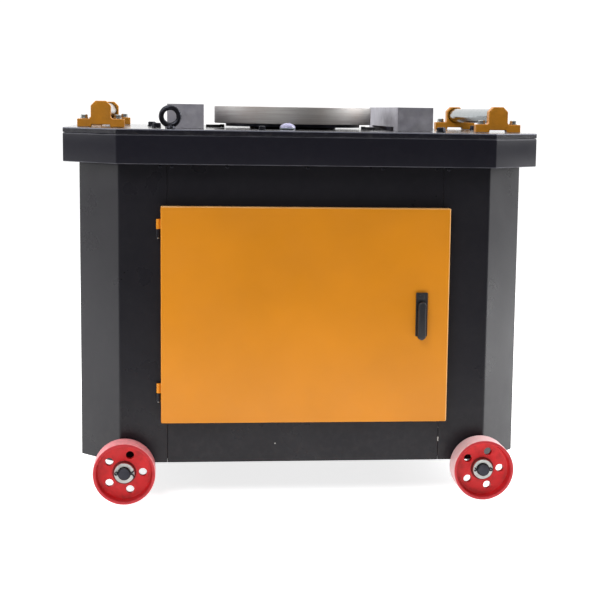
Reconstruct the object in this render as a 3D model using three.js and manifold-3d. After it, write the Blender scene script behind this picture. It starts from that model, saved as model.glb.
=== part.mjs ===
// Rebar bending machine: a steel cabinet on four cast wheels, with a turning disc on its table.
// Millimetres. Origin on the floor under the middle of the cabinet, +X right, -Y towards the
// door, +Z up.
import * as THREE from "three";
import { mergeVertices } from "three/addons/utils/BufferGeometryUtils.js";
import Module from "manifold-3d";

const wasm = await Module();
wasm.setup();

// ---- driving dimensions ----
const GAP = 0.3; // clearance between pieces that touch
const OVER = 1; // how far a cutting tool runs past the face that it opens
const SEGMENTS = 24;

// Table: an octagonal plate with an apron hung under its edge.
const TABLE = { halfX: 490, halfY: 422.5, cutX: 111, cutY: 120, top: 749, thick: 10 };
const ON_TABLE = TABLE.top + GAP;
const APRON = { bottom: 680, sheet: 4 };

// Cabinet shell, its rear openings and its foot.
const SHELL = { halfX: 458, halfY: 383.5, cutX: 82, cutY: 95, bottom: 71.5, sheet: 2.5, seamX: 280 };
const SHELL_TOP = TABLE.top - TABLE.thick - GAP;
const LOUVRES = { rows: 7, pitch: 26, height: 8, width: 130, centres: [-150, 0], low: 150 };
const GLAND = { x: 200, z: 200, thread: 16, nut: 21, mouth: 10 };
const GLAND_ENDS = { inside: 12, nut: 12, shoulder: 22, mouth: 30 };
const RAIL = { halfX: 30, high: 126, web: 5, halfY: 350 };
const FLOOR_THICK = 4;
const STOP = { y: -120, z: 600, hole: 12 };
const STOP_PROFILE = [ // radius, distance outside the cabinet wall
  [0, -30],
  [10.5, -30],
  [10.5, 12],
  [15, 12],
  [19, 16],
  [19, 20],
  [13, 26],
  [0, 27],
];

// Door, hinges and lock.
const DOOR = { halfX: 293, low: 157, high: 597, front: -405.5, back: -384.5, sheet: 2 };
const DOORWAY = { halfX: 265, low: 172, high: 582 };
const HINGE = { x: -298, y: -395, r: 4, centres: [228, 561], height: 20, leaf: 17, tab: 2 };
const LOCK = { x: 236, low: 335.5, high: 425.4, width: 24, thick: 5, pivotZ: 398 };
const SPINDLE = { r: 6, plateHole: 7, doorHole: 8, proud: 1.8 };
const CAM = { reach: 24, front: -374, back: -370, halfZ: 7 };
const LEVER = { width: 17, low: 328.6, high: 407, thick: 9, relief: 4.5, reliefLow: 388, steps: 8 };

// Wheels on two through axles. The wheels stand on a flat of their faceted tread.
const WHEEL = {
  r: 62.5,
  width: 55,
  x: 366.5,
  y: 421,
  rimRoot: 54.5,
  rimMouth: 56.5,
  hubR: 22.5,
  hub: 28,
  web: 14,
  segments: 36,
};
const WHEEL_HOLES = { count: 5, r: 8.2, circle: 37 };
const AXLE = { r: 12.5, halfY: 447, bore: 13.2 };
const AXLE_Z = WHEEL.r * Math.cos(Math.PI / WHEEL.segments);

// Bending disc, angle ring, main shaft and its bearing.
const DISC = { r: 175, low: 759.3, high: 796.3, depth: 30, segments: 48 };
const DISC_HOLES = { centreR: 27, pinR: 17, pinCircle: 115, pins: 8 };
const RING = { inner: 104, outer: 150, low: 752.9, high: DISC.low - GAP };
const DOG = { halfX: 12, root: 144, tip: 152.5 };
const SHAFT = { r: 40, low: 520, neckR: 30, neckHigh: 600, flangeR: 60, flangeLow: 754.2 };
const BEARING = { r: 75, bore: 41, flangeR: 96, top: 752.2 };

// Fittings on the table.
const BAR = { inner: 204, outer: 280, halfY: 236, high: 799, footY: 176, relief: 8 };
const BAR_HOLES = { count: 5, r: 15, pitch: 95, segments: 12 };
const BLOCK = { x: 415, y: 253, thick: 24, base: 96, foot: 17, hump: 41, high: 803, chamfer: 10 };
const BLOCK_RECESS = { halfX: 18.5, high: 5 };
const ROLLER = { r: 16, z: 783, halfY: 252.5, pocketR: 16.5, pocketDepth: 12 };
const EYE = { x: 274, y: 377.5, z: 774, ring: 17.4, wire: 5.1, collar: 10 };
const LAMP = { x: -28, y: -225.5 };
const LAMP_PROFILE = [ // radius, height above the table
  [0, 0],
  [17.5, 0],
  [17.5, 3],
  [16, 7],
  [12, 11],
  [7, 13],
  [0, 13.5],
];
const SWITCH = { halfX: 14, front: -22, back: 10, high: 6 };
const SWITCH_ARM = { halfX: 3, front: 8, rollerY: 14, rollerR: 5, rollerHigh: 7, high: 4 };
const SWITCH_LEFT = { x: -172, y: -8, turn: -1.6 };
const SWITCH_RIGHT = { x: 160, y: -98, turn: 0.9 };

// Gearbox: a worm and wheel, driven through two change gears.
const WHEEL_GEAR = { teeth: 30, pitch: 90, tip: 95, root: 83, face: 30, z: 560, tooth: 6.4 };
const WORM = { starts: 2, pitch: 30, tip: 35, root: 23, length: 96, shaft: 14, x: -120, samples: 12 };
const LEAD = (WORM.starts * 2 * Math.PI * WHEEL_GEAR.pitch) / WHEEL_GEAR.teeth;
const SPUR = { module: 4, gear: 36, pinion: 24, front: 165, back: 188 };
const SPUR_TOOTH = { addendum: 0.8, dedendum: 1.3, backlash: 1.6 };
const INPUT_Z = WHEEL_GEAR.z - (SPUR.module * (SPUR.gear + SPUR.pinion)) / 2;
const INPUT_R = 15;
const HOUSING = { left: -175, right: 130, halfY: 140, low: 500, high: 674, wall: 10 };
const COVER = { halfX: 205, high: 689.7 };
const BEAM = { inner: 153, outer: 203, web: 6 };
const BRACKET = { halfX: 45, front: -110, back: 130, low: 406, bore: 16 };
const BRACKET_CLEAR = { front: -80, back: 100, high: 485.7 };
const SHAFT_END = 6; // how far a shaft stands out past the last wheel on it

// Belt drive and motor.
const PULLEY = { inputR: 104, motorR: 54, groove: 8, front: -215, back: -170, wall: 9 };
const BELT = { thick: 7, lift: 1, side: 2, steps: 16 };
const MOTOR = { z: 215, r: 85, front: -130, back: 150, fins: 24, finDepth: 8 };
const MOTOR_SHAFT = { r: 12, back: -72, boreBack: -70 };
const COWL = { r: 88, back: 205 };
const MOTOR_FEET = { halfX: 70, front: -100, back: 110, low: 118, high: 150 };
const BASE = { halfX: 90, front: -130, back: 140, plate: 8, legs: [-100, 110], legHalf: 15 };
const TERMINALS = { halfX: 40, front: -30, back: 60, height: 34 };
const ELECTRICS = { left: 70, right: 250, depth: 70, low: 360, high: 600 };

// ---- shapes ----

// A closed three.js geometry as a manifold-3d solid.
function solid(geometry) {
  const bare = geometry.clone();
  bare.deleteAttribute("normal");
  bare.deleteAttribute("uv");
  const merged = mergeVertices(bare, 1e-4);
  return new wasm.Manifold(
    new wasm.Mesh({
      numProp: 3,
      vertProperties: merged.attributes.position.array,
      triVerts: new Uint32Array(merged.index.array),
    }),
  );
}

// A manifold-3d solid as a three.js geometry.
function geometryOf(body) {
  const mesh = body.getMesh();
  const geometry = new THREE.BufferGeometry();
  geometry.setAttribute("position", new THREE.BufferAttribute(mesh.vertProperties, 3));
  geometry.setIndex(new THREE.BufferAttribute(mesh.triVerts, 1));
  geometry.computeVertexNormals();
  return geometry;
}

function box(x0, x1, y0, y1, z0, z1) {
  const geometry = new THREE.BoxGeometry(x1 - x0, y1 - y0, z1 - z0);
  geometry.translate((x0 + x1) / 2, (y0 + y1) / 2, (z0 + z1) / 2);
  return solid(geometry);
}

// The axis that a shape is extruded or turned along, as the turn that carries +Z onto it.
const ALONG = {
  X: new THREE.Matrix4().makeBasis(
    new THREE.Vector3(0, 1, 0),
    new THREE.Vector3(0, 0, 1),
    new THREE.Vector3(1, 0, 0),
  ),
  Y: new THREE.Matrix4().makeBasis(
    new THREE.Vector3(1, 0, 0),
    new THREE.Vector3(0, 0, -1),
    new THREE.Vector3(0, 1, 0),
  ),
  Z: new THREE.Matrix4(),
};

// An outline given in the two axes other than the extrusion axis: (x, y) for Z, (y, z) for X,
// (x, z) for Y.
function extrude(outline, axis, from, to, holes = []) {
  const flip = axis === "Y" ? -1 : 1;
  const shape = new THREE.Shape(outline.map(([a, b]) => new THREE.Vector2(a, flip * b)));
  for (const hole of holes) {
    shape.holes.push(new THREE.Path(hole.map(([a, b]) => new THREE.Vector2(a, flip * b))));
  }
  const geometry = new THREE.ExtrudeGeometry(shape, { depth: to - from, bevelEnabled: false });
  geometry.translate(0, 0, from);
  geometry.applyMatrix4(ALONG[axis]);
  return solid(geometry);
}

function circle(r, a = 0, b = 0, count = SEGMENTS, phase = 0) {
  return Array.from({ length: count }, (_, i) => {
    const angle = phase + (2 * Math.PI * i) / count;
    return [a + r * Math.cos(angle), b + r * Math.sin(angle)];
  });
}

function cylinder(r, axis, from, to, a = 0, b = 0, count = SEGMENTS, phase = 0) {
  return extrude(circle(r, a, b, count, phase), axis, from, to);
}

// A profile of [radius, distance along the axis], turned about the axis through (a, b).
function turned(profile, axis, a = 0, b = 0, count = SEGMENTS, phase = 0) {
  const points = profile.map(([r, along]) => new THREE.Vector2(r, along));
  const geometry = new THREE.LatheGeometry(points, count, phase);
  geometry.rotateX(Math.PI / 2);
  geometry.applyMatrix4(ALONG[axis]);
  const shift = { X: [0, a, b], Y: [a, 0, b], Z: [a, b, 0] }[axis];
  geometry.translate(...shift);
  return solid(geometry);
}

function join(...parts) {
  return parts.reduce((whole, part) => whole.add(part));
}

function cut(body, ...tools) {
  return tools.reduce((left, tool) => left.subtract(tool), body);
}

// The eight corners of a rectangle with cut corners, shrunk by inset.
function cutCorners({ halfX, halfY, cutX, cutY }, inset = 0) {
  const x = halfX - inset;
  const y = halfY - inset;
  const slope = Math.hypot(cutX, cutY);
  const trimX = cutX - (inset * (cutX + cutY - slope)) / cutY;
  const trimY = cutY - (inset * (cutX + cutY - slope)) / cutX;
  return [
    [x - trimX, -y],
    [x, -y + trimY],
    [x, y - trimY],
    [x - trimX, y],
    [-x + trimX, y],
    [-x, y - trimY],
    [-x, -y + trimY],
    [-x + trimX, -y],
  ];
}

// A toothed outline: straight-sided teeth of the given thickness, the first at angle 0.
function toothOutline(teeth, root, pitch, tip, thick) {
  const outline = [];
  const rootHalf = (thick * 0.75) / pitch;
  const tipHalf = (thick * 0.28) / pitch;
  for (let i = 0; i < teeth; i += 1) {
    const middle = (2 * Math.PI * i) / teeth;
    const corners = [
      [root, -rootHalf],
      [tip, -tipHalf],
      [tip, tipHalf],
      [root, rootHalf],
    ];
    for (const [r, side] of corners) {
      outline.push([r * Math.cos(middle + side), r * Math.sin(middle + side)]);
    }
  }
  return outline;
}

// An outline extruded along +Z in steps, turning by turn radians per millimetre.
function twisted(outline, from, to, steps, turn) {
  const shape = new THREE.Shape(outline.map(([a, b]) => new THREE.Vector2(a, b)));
  const geometry = new THREE.ExtrudeGeometry(shape, { depth: to - from, steps, bevelEnabled: false });
  geometry.translate(0, 0, from);
  const position = geometry.attributes.position;
  const point = new THREE.Vector3();
  for (let i = 0; i < position.count; i += 1) {
    point.fromBufferAttribute(position, i);
    point.applyAxisAngle(new THREE.Vector3(0, 0, 1), turn * point.z);
    position.setXYZ(i, point.x, point.y, point.z);
  }
  return geometry;
}

// ---- the group and its materials ----
const machine = new THREE.Group();

const FINISHES = {
  blackPaint: { color: 0x1b1b20, roughness: 0.42, metalness: 0.0 },
  orangePaint: { color: 0xd9861c, roughness: 0.4, metalness: 0.0 },
  ochrePaint: { color: 0xb9781a, roughness: 0.5, metalness: 0.0 },
  redPaint: { color: 0xc62f30, roughness: 0.5, metalness: 0.0 },
  greyPaint: { color: 0x4b5055, roughness: 0.55, metalness: 0.0 },
  milledSteel: { color: 0x77747c, roughness: 0.5, metalness: 1.0 },
  turnedSteel: { color: 0x8b8781, roughness: 0.35, metalness: 1.0 },
  chrome: { color: 0xc9ccd2, roughness: 0.08, metalness: 1.0 },
  darkSteel: { color: 0x2c2d33, roughness: 0.45, metalness: 0.9 },
  castIron: { color: 0x45474b, roughness: 0.7, metalness: 0.6 },
  rubber: { color: 0x151515, roughness: 0.9, metalness: 0.0 },
  blackPlastic: { color: 0x17171a, roughness: 0.45, metalness: 0.0 },
  redPlastic: { color: 0xb3161b, roughness: 0.35, metalness: 0.0 },
  lens: { color: 0xb9b6e4, roughness: 0.1, metalness: 0.0 },
};

function add(name, body, finish, parent = machine) {
  const mesh = new THREE.Mesh(geometryOf(body), new THREE.MeshStandardMaterial(FINISHES[finish]));
  mesh.name = name;
  parent.add(mesh);
  return mesh;
}

// ---- table ----
function tablePlate() {
  const shaftHole = circle(BEARING.r + OVER);
  const bottom = TABLE.top - TABLE.thick;
  return extrude(cutCorners(TABLE), "Z", bottom, TABLE.top, [shaftHole]);
}

// The octagonal apron ring, cut into a front and a rear piece with their corner wings, and
// two plain sides.
function apronPieces() {
  const inside = cutCorners(TABLE, APRON.sheet);
  const ring = extrude(cutCorners(TABLE), "Z", APRON.bottom, SHELL_TOP, [inside]);
  const splitY = TABLE.halfY - TABLE.cutY;
  const far = TABLE.halfY + OVER;
  const wide = TABLE.halfX + OVER;
  const front = box(-wide, wide, -far, -splitY, 0, TABLE.top);
  const rear = box(-wide, wide, splitY, far, 0, TABLE.top);
  const left = box(-wide, 0, -splitY + GAP, splitY - GAP, 0, TABLE.top);
  const right = box(0, wide, -splitY + GAP, splitY - GAP, 0, TABLE.top);
  return {
    apron_front: ring.intersect(front),
    apron_rear: ring.intersect(rear),
    apron_left: ring.intersect(left),
    apron_right: ring.intersect(right),
  };
}

// A milled bar with feet at its ends and a row of pin holes drilled down from its top.
function stopBar(side) {
  const { count, r, pitch, segments } = BAR_HOLES;
  const x0 = side > 0 ? BAR.inner : -BAR.outer;
  const x1 = x0 + BAR.outer - BAR.inner;
  const middle = (x0 + x1) / 2;
  const low = ON_TABLE - OVER;
  const bar = box(x0, x1, -BAR.halfY, BAR.halfY, ON_TABLE, BAR.high);
  const relief = box(x0 - OVER, x1 + OVER, -BAR.footY, BAR.footY, low, ON_TABLE + BAR.relief);
  const holes = Array.from({ length: count }, (_, i) => {
    const y = (i - (count - 1) / 2) * pitch;
    return cylinder(r, "Z", low, BAR.high + OVER, middle, y, segments, Math.PI / segments);
  });
  return cut(bar, relief, ...holes);
}

// A pillow block: two feet, a hump with chamfered shoulders, and a pocket for the roller's end.
// inward is +1 where the pocket opens towards +Y.
function bearingBlock(x, y, inward) {
  const low = ON_TABLE;
  const half = BLOCK.base / 2;
  const hump = BLOCK.hump / 2;
  const recess = BLOCK_RECESS.halfX;
  const outline = [
    [x - half, low],
    [x - recess, low],
    [x - recess, low + BLOCK_RECESS.high],
    [x + recess, low + BLOCK_RECESS.high],
    [x + recess, low],
    [x + half, low],
    [x + half, low + BLOCK.foot],
    [x + hump, low + BLOCK.foot],
    [x + hump, BLOCK.high - BLOCK.chamfer],
    [x + hump - BLOCK.chamfer, BLOCK.high],
    [x - hump + BLOCK.chamfer, BLOCK.high],
    [x - hump, BLOCK.high - BLOCK.chamfer],
    [x - hump, low + BLOCK.foot],
    [x - half, low + BLOCK.foot],
  ];
  const block = extrude(outline, "Y", y - BLOCK.thick / 2, y + BLOCK.thick / 2);
  const mouth = y + (inward * BLOCK.thick) / 2;
  const from = Math.min(mouth - inward * ROLLER.pocketDepth, mouth + inward * OVER);
  const to = Math.max(mouth - inward * ROLLER.pocketDepth, mouth + inward * OVER);
  return cut(block, cylinder(ROLLER.pocketR, "Y", from, to, x, ROLLER.z));
}

function liftingEye(x, y) {
  const ring = new THREE.TorusGeometry(EYE.ring, EYE.wire, 8, 16);
  ring.rotateX(Math.PI / 2);
  ring.translate(x, y, EYE.z);
  const collar = cylinder(EYE.collar, "Z", ON_TABLE, EYE.z - EYE.ring + OVER, x, y, 16);
  return join(solid(ring), collar);
}

function indicatorLamp() {
  const profile = LAMP_PROFILE.map(([r, height]) => [r, ON_TABLE + height]);
  return turned(profile, "Z", LAMP.x, LAMP.y);
}

// A plunger switch with a small roller on its arm, turned about its own middle.
function limitSwitch({ x, y, turn }) {
  const { halfX, front, back, high } = SWITCH;
  const arm = SWITCH_ARM;
  const body = box(-halfX, halfX, front, back, ON_TABLE, ON_TABLE + high);
  const lever = box(-arm.halfX, arm.halfX, arm.front, arm.rollerY, ON_TABLE, ON_TABLE + arm.high);
  const wheelHigh = ON_TABLE + arm.rollerHigh;
  const roll = cylinder(arm.rollerR, "Z", ON_TABLE, wheelHigh, 0, arm.rollerY, 16);
  const geometry = geometryOf(join(body, roll, lever));
  geometry.rotateZ(turn);
  geometry.translate(x, y, 0);
  return solid(geometry);
}

// ---- cabinet ----

// Each side shell is slotted at its foot where an axle passes through its front and rear walls.
function sideShell(side) {
  const inside = cutCorners(SHELL, SHELL.sheet);
  const ring = extrude(cutCorners(SHELL), "Z", SHELL.bottom, SHELL_TOP, [inside]);
  const reach = SHELL.halfX + OVER;
  const depth = SHELL.halfY + OVER;
  const near = SHELL.seamX + GAP;
  const [x0, x1] = side > 0 ? [near, reach] : [-reach, -near];
  const axleX = side * WHEEL.x;
  const slotHalf = AXLE.r + OVER;
  const slotHigh = AXLE_Z + AXLE.r + GAP;
  const slot = box(axleX - slotHalf, axleX + slotHalf, -depth, depth, 0, slotHigh);
  const shell = cut(ring.intersect(box(x0, x1, -depth, depth, 0, TABLE.top)), slot);
  if (side < 0) return shell;
  const wall = SHELL.halfX - SHELL.sheet - OVER;
  return cut(shell, cylinder(STOP.hole, "X", wall, reach, STOP.y, STOP.z, 16));
}

function frontPanel() {
  const y = -SHELL.halfY;
  const back = y + SHELL.sheet;
  const { halfX, low, high } = DOORWAY;
  const sheet = box(-SHELL.seamX, SHELL.seamX, y, back, SHELL.bottom, SHELL_TOP);
  return cut(sheet, box(-halfX, halfX, y - OVER, back + OVER, low, high));
}

// The rear panel has two columns of cooling slots and the hole of the cable gland.
function rearPanel() {
  const y = SHELL.halfY;
  const front = y - SHELL.sheet;
  const sheet = box(-SHELL.seamX, SHELL.seamX, front, y, SHELL.bottom, SHELL_TOP);
  const half = LOUVRES.width / 2;
  const slots = LOUVRES.centres.flatMap((x) =>
    Array.from({ length: LOUVRES.rows }, (_, row) => {
      const z = LOUVRES.low + row * LOUVRES.pitch;
      return box(x - half, x + half, front - OVER, y + OVER, z, z + LOUVRES.height);
    }),
  );
  const hole = cylinder(GLAND.thread + GAP, "Y", front - OVER, y + OVER, GLAND.x, GLAND.z, 16);
  return cut(sheet, ...slots, hole);
}

function cableGland() {
  const y = SHELL.halfY;
  const { x, z, thread, nut, mouth } = GLAND;
  const nutEnd = y + GLAND_ENDS.nut;
  const profile = [
    [0, nutEnd - OVER],
    [thread, nutEnd - OVER],
    [thread, y + GLAND_ENDS.shoulder],
    [mouth, y + GLAND_ENDS.mouth],
    [0, y + GLAND_ENDS.mouth],
  ];
  return join(
    cylinder(thread, "Y", y - GLAND_ENDS.inside, nutEnd - OVER, x, z, 16),
    cylinder(nut, "Y", y + GAP, nutEnd, x, z, 6),
    turned(profile, "Y", x, z, 16),
  );
}

// A channel that lies inside the cabinet's foot and carries an axle under its web.
function chassisRail(x) {
  const { halfX, high, web, halfY } = RAIL;
  const low = AXLE_Z + AXLE.r + GAP;
  const end = halfY + OVER;
  const outer = box(x - halfX, x + halfX, -halfY, halfY, low, high);
  const inner = box(x - halfX + web, x + halfX - web, -end, end, low + web, high + OVER);
  return cut(outer, inner);
}

function floorPan() {
  const x = WHEEL.x - RAIL.halfX - GAP;
  return box(-x, x, -RAIL.halfY, RAIL.halfY, SHELL.bottom, SHELL.bottom + FLOOR_THICK);
}

// ---- door and lock ----
function doorPan() {
  const { halfX, low, high, front, back, sheet } = DOOR;
  const pan = box(-halfX, halfX, front, back, low, high);
  const hollow = box(
    -halfX + sheet,
    halfX - sheet,
    front + sheet,
    back + OVER,
    low + sheet,
    high - sheet,
  );
  const hole = cylinder(SPINDLE.doorHole, "Y", front - OVER, back, LOCK.x, LOCK.pivotZ, 16);
  const knuckles = HINGE.centres.map((z) => {
    const { x, y, r, height, tab } = HINGE;
    const foot = z - height / 2;
    const barrel = cylinder(r, "Z", foot, foot + height, x, y, 16);
    return join(barrel, box(x, -halfX + OVER, y - tab, y + tab, foot, foot + height));
  });
  return cut(join(cut(pan, hollow), ...knuckles), hole);
}

// The body-side knuckle under a door knuckle, on a leaf that reaches back to the cabinet.
function hingeKnuckle(z) {
  const { x, y, r, height, leaf } = HINGE;
  const high = z - height / 2 - GAP;
  const low = high - leaf;
  const barrel = cylinder(r, "Z", low, high, x, y, 16);
  return join(barrel, box(x - r, x + OVER, y, -SHELL.halfY - GAP, low, high));
}

function lockPlate() {
  const half = LOCK.width / 2;
  const back = DOOR.front - GAP;
  const front = back - LOCK.thick;
  const plate = box(LOCK.x - half, LOCK.x + half, front, back, LOCK.low, LOCK.high);
  const hole = cylinder(SPINDLE.plateHole, "Y", front - OVER, back + OVER, LOCK.x, LOCK.pivotZ, 16);
  return cut(plate, hole);
}

// Spindle through the plate and the door, with the cam that turns behind the door pan.
function lockSpindle() {
  const front = DOOR.front - GAP - LOCK.thick - SPINDLE.proud;
  const rod = cylinder(SPINDLE.r, "Y", front, CAM.back, LOCK.x, LOCK.pivotZ, 16);
  const low = LOCK.pivotZ - CAM.halfZ;
  const cam = box(LOCK.x, LOCK.x + CAM.reach, CAM.front, CAM.back, low, low + 2 * CAM.halfZ);
  return join(rod, cam);
}

// Half a round end of the lever, about a centre at height z, starting at angle start.
function leverEnd(z, start) {
  const half = LEVER.width / 2;
  return Array.from({ length: LEVER.steps + 1 }, (_, i) => {
    const angle = start + (Math.PI * i) / LEVER.steps;
    return [LOCK.x + half * Math.cos(angle), z + half * Math.sin(angle)];
  });
}

// The lever hangs from the spindle's front end. Its back is relieved there, so that it can tip.
function lockLever() {
  const half = LEVER.width / 2;
  const back = DOOR.front - GAP - LOCK.thick - OVER;
  const outline = [...leverEnd(LEVER.high - half, 0), ...leverEnd(LEVER.low + half, Math.PI)];
  const grip = extrude(outline, "Y", back - LEVER.thick, back);
  const side = half + OVER;
  const relief = box(
    LOCK.x - side,
    LOCK.x + side,
    back - LEVER.relief,
    back + OVER,
    LEVER.reliefLow,
    LEVER.high + OVER,
  );
  return cut(grip, relief);
}

// ---- bending disc and its shaft ----
function workingDisc() {
  const { centreR, pinR, pinCircle, pins } = DISC_HOLES;
  const disc = cylinder(DISC.r, "Z", DISC.low, DISC.high, 0, 0, DISC.segments);
  const floor = DISC.high - DISC.depth;
  const top = DISC.high + OVER;
  const centre = cylinder(centreR, "Z", floor, top, 0, 0, SEGMENTS, Math.PI / DISC.segments);
  const seats = Array.from({ length: pins }, (_, i) => {
    const angle = (2 * Math.PI * (i + 0.5)) / pins;
    const x = pinCircle * Math.cos(angle);
    const y = pinCircle * Math.sin(angle);
    return cylinder(pinR, "Z", floor, top, x, y, 12, Math.PI / 12);
  });
  return cut(disc, centre, ...seats);
}

// The ring under the disc that carries the angle stop dog.
function angleRing() {
  const outer = circle(RING.outer, 0, 0, DISC.segments);
  const ring = extrude(outer, "Z", RING.low, RING.high, [circle(RING.inner)]);
  return join(ring, box(-DOG.halfX, DOG.halfX, DOG.root, DOG.tip, RING.low, RING.high));
}

function mainShaft() {
  const { r, low, neckR, neckHigh, flangeR, flangeLow } = SHAFT;
  const high = DISC.low - GAP;
  const profile = [
    [0, low],
    [neckR, low],
    [neckR, neckHigh],
    [r, neckHigh],
    [r, flangeLow],
    [flangeR, flangeLow],
    [flangeR, high],
    [0, high],
  ];
  return turned(profile, "Z");
}

function mainBearing() {
  const { r, bore, flangeR, top } = BEARING;
  const low = COVER.high + GAP;
  const profile = [
    [bore, low],
    [r, low],
    [r, ON_TABLE],
    [flangeR, ON_TABLE],
    [flangeR, top],
    [bore, top],
    [bore, low],
  ];
  return turned(profile, "Z");
}

// ---- gearbox ----
function wormWheel() {
  const { teeth, root, pitch, tip, face, z, tooth } = WHEEL_GEAR;
  const half = face / 2;
  const turn = LEAD / (2 * Math.PI * WORM.pitch) / pitch;
  const geometry = twisted(toothOutline(teeth, root, pitch, tip, tooth), -half, half, 2, turn);
  geometry.translate(0, 0, z);
  const bore = cylinder(SHAFT.neckR + GAP, "Z", z - half - OVER, z + half + OVER);
  return cut(solid(geometry), bore);
}

// A worm whose cross-section has one lobe for each start, twisted along its length.
function wormScrew() {
  const { starts, tip, root, length, shaft, x, samples } = WORM;
  const outline = Array.from({ length: samples }, (_, i) => {
    const angle = (2 * Math.PI * i) / samples;
    const wave = 0.5 - 0.5 * Math.cos(starts * angle);
    const r = root + (tip - root) * wave ** 2;
    return [r * Math.cos(angle), r * Math.sin(angle)];
  });
  const half = length / 2;
  const steps = Math.round((length / LEAD) * samples);
  const screw = twisted(outline, -half, half, steps, (2 * Math.PI) / LEAD);
  screw.applyMatrix4(ALONG.Y);
  screw.translate(x, 0, WHEEL_GEAR.z);
  const front = -HOUSING.halfY - HOUSING.wall;
  return join(solid(screw), cylinder(shaft, "Y", front, SPUR.back + SHAFT_END, x, WHEEL_GEAR.z));
}

// A spur gear on the worm's line at height z.
function spurGear(teeth, z, phase) {
  const { addendum, dedendum, backlash } = SPUR_TOOTH;
  const pitch = (SPUR.module * teeth) / 2;
  const root = pitch - SPUR.module * dedendum;
  const tip = pitch + SPUR.module * addendum;
  const tooth = (SPUR.module * Math.PI) / 2 - backlash;
  const outline = toothOutline(teeth, root, pitch, tip, tooth);
  const geometry = twisted(outline, SPUR.front, SPUR.back, 1, 0);
  geometry.rotateZ(phase);
  geometry.applyMatrix4(ALONG.Y);
  geometry.translate(WORM.x, 0, z);
  return solid(geometry);
}

function changeGear() {
  const { front, back, gear } = SPUR;
  const bore = cylinder(WORM.shaft + GAP, "Y", front - OVER, back + OVER, WORM.x, WHEEL_GEAR.z);
  return cut(spurGear(gear, WHEEL_GEAR.z, Math.PI / 2), bore);
}

function gearboxHousing() {
  const { left, right, halfY, low, high, wall } = HOUSING;
  const outer = box(left, right, -halfY, halfY, low, high);
  const inside = halfY - wall;
  const inner = box(left + wall, right - wall, -inside, inside, low + wall, high + OVER);
  const end = halfY + OVER;
  return cut(outer, inner, cylinder(WORM.shaft + 1, "Y", -end, end, WORM.x, WHEEL_GEAR.z));
}

function gearboxCover() {
  const low = HOUSING.high + GAP;
  const plate = box(-COVER.halfX, COVER.halfX, -HOUSING.halfY, HOUSING.halfY, low, COVER.high);
  return cut(plate, cylinder(BEARING.bore, "Z", low - OVER, COVER.high + OVER));
}

// A channel under the table, open towards the main shaft, that the gearbox hangs from.
function gearboxBeam(side) {
  const { inner, outer, web } = BEAM;
  const low = COVER.high + GAP;
  const outline = [
    [side * inner, low],
    [side * outer, low],
    [side * outer, SHELL_TOP],
    [side * inner, SHELL_TOP],
    [side * inner, SHELL_TOP - web],
    [side * (outer - web), SHELL_TOP - web],
    [side * (outer - web), low + web],
    [side * inner, low + web],
  ];
  return extrude(side > 0 ? outline : outline.reverse(), "Y", -RAIL.halfY, RAIL.halfY);
}

// The bracket under the gearbox in which the input shaft runs.
function inputBracket() {
  const { halfX, front, back, low, bore } = BRACKET;
  const clear = BRACKET_CLEAR;
  const left = WORM.x - halfX;
  const right = WORM.x + halfX;
  const block = box(left, right, front, back, low, HOUSING.low - GAP);
  const belly = box(left - OVER, right + OVER, clear.front, clear.back, low - OVER, clear.high);
  return cut(block, belly, cylinder(bore, "Y", front - OVER, back + OVER, WORM.x, INPUT_Z));
}

// The pinion is cut on the shaft, turned half a tooth so that it meshes with the change gear.
function inputShaft() {
  const front = PULLEY.front - SHAFT_END;
  const shaft = cylinder(INPUT_R, "Y", front, SPUR.back + SHAFT_END, WORM.x, INPUT_Z);
  return join(shaft, spurGear(SPUR.pinion, INPUT_Z, Math.PI / 2 + Math.PI / SPUR.pinion));
}

// ---- belt drive and motor ----
function pulley(r, z, shaftR) {
  const { front, back, wall, groove } = PULLEY;
  const bore = shaftR + GAP;
  const profile = [
    [bore, front],
    [r, front],
    [r, front + wall],
    [r - groove, front + wall],
    [r - groove, back - wall],
    [r, back - wall],
    [r, back],
    [bore, back],
    [bore, front],
  ];
  return turned(profile, "Y", WORM.x, z, 32);
}

// The belt's outline, extra outside the groove floors: part of a circle round each pulley,
// joined by the two straight runs.
function beltLoop(extra) {
  const { steps } = BELT;
  const bottom = PULLEY.motorR - PULLEY.groove + extra;
  const top = PULLEY.inputR - PULLEY.groove + extra;
  const lean = Math.asin((top - bottom) / (INPUT_Z - MOTOR.z));
  const wrap = (r, z, start, sweep) =>
    Array.from({ length: steps + 1 }, (_, i) => {
      const angle = start + (sweep * i) / steps;
      return [WORM.x + r * Math.cos(angle), z + r * Math.sin(angle)];
    });
  return [
    ...wrap(top, INPUT_Z, -lean, Math.PI + 2 * lean),
    ...wrap(bottom, MOTOR.z, Math.PI + lean, Math.PI - 2 * lean),
  ];
}

function driveBelt() {
  const front = PULLEY.front + PULLEY.wall + BELT.side;
  const back = PULLEY.back - PULLEY.wall - BELT.side;
  const outer = extrude(beltLoop(BELT.lift + BELT.thick), "Y", front, back);
  return cut(outer, extrude(beltLoop(BELT.lift), "Y", front - OVER, back + OVER));
}

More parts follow.
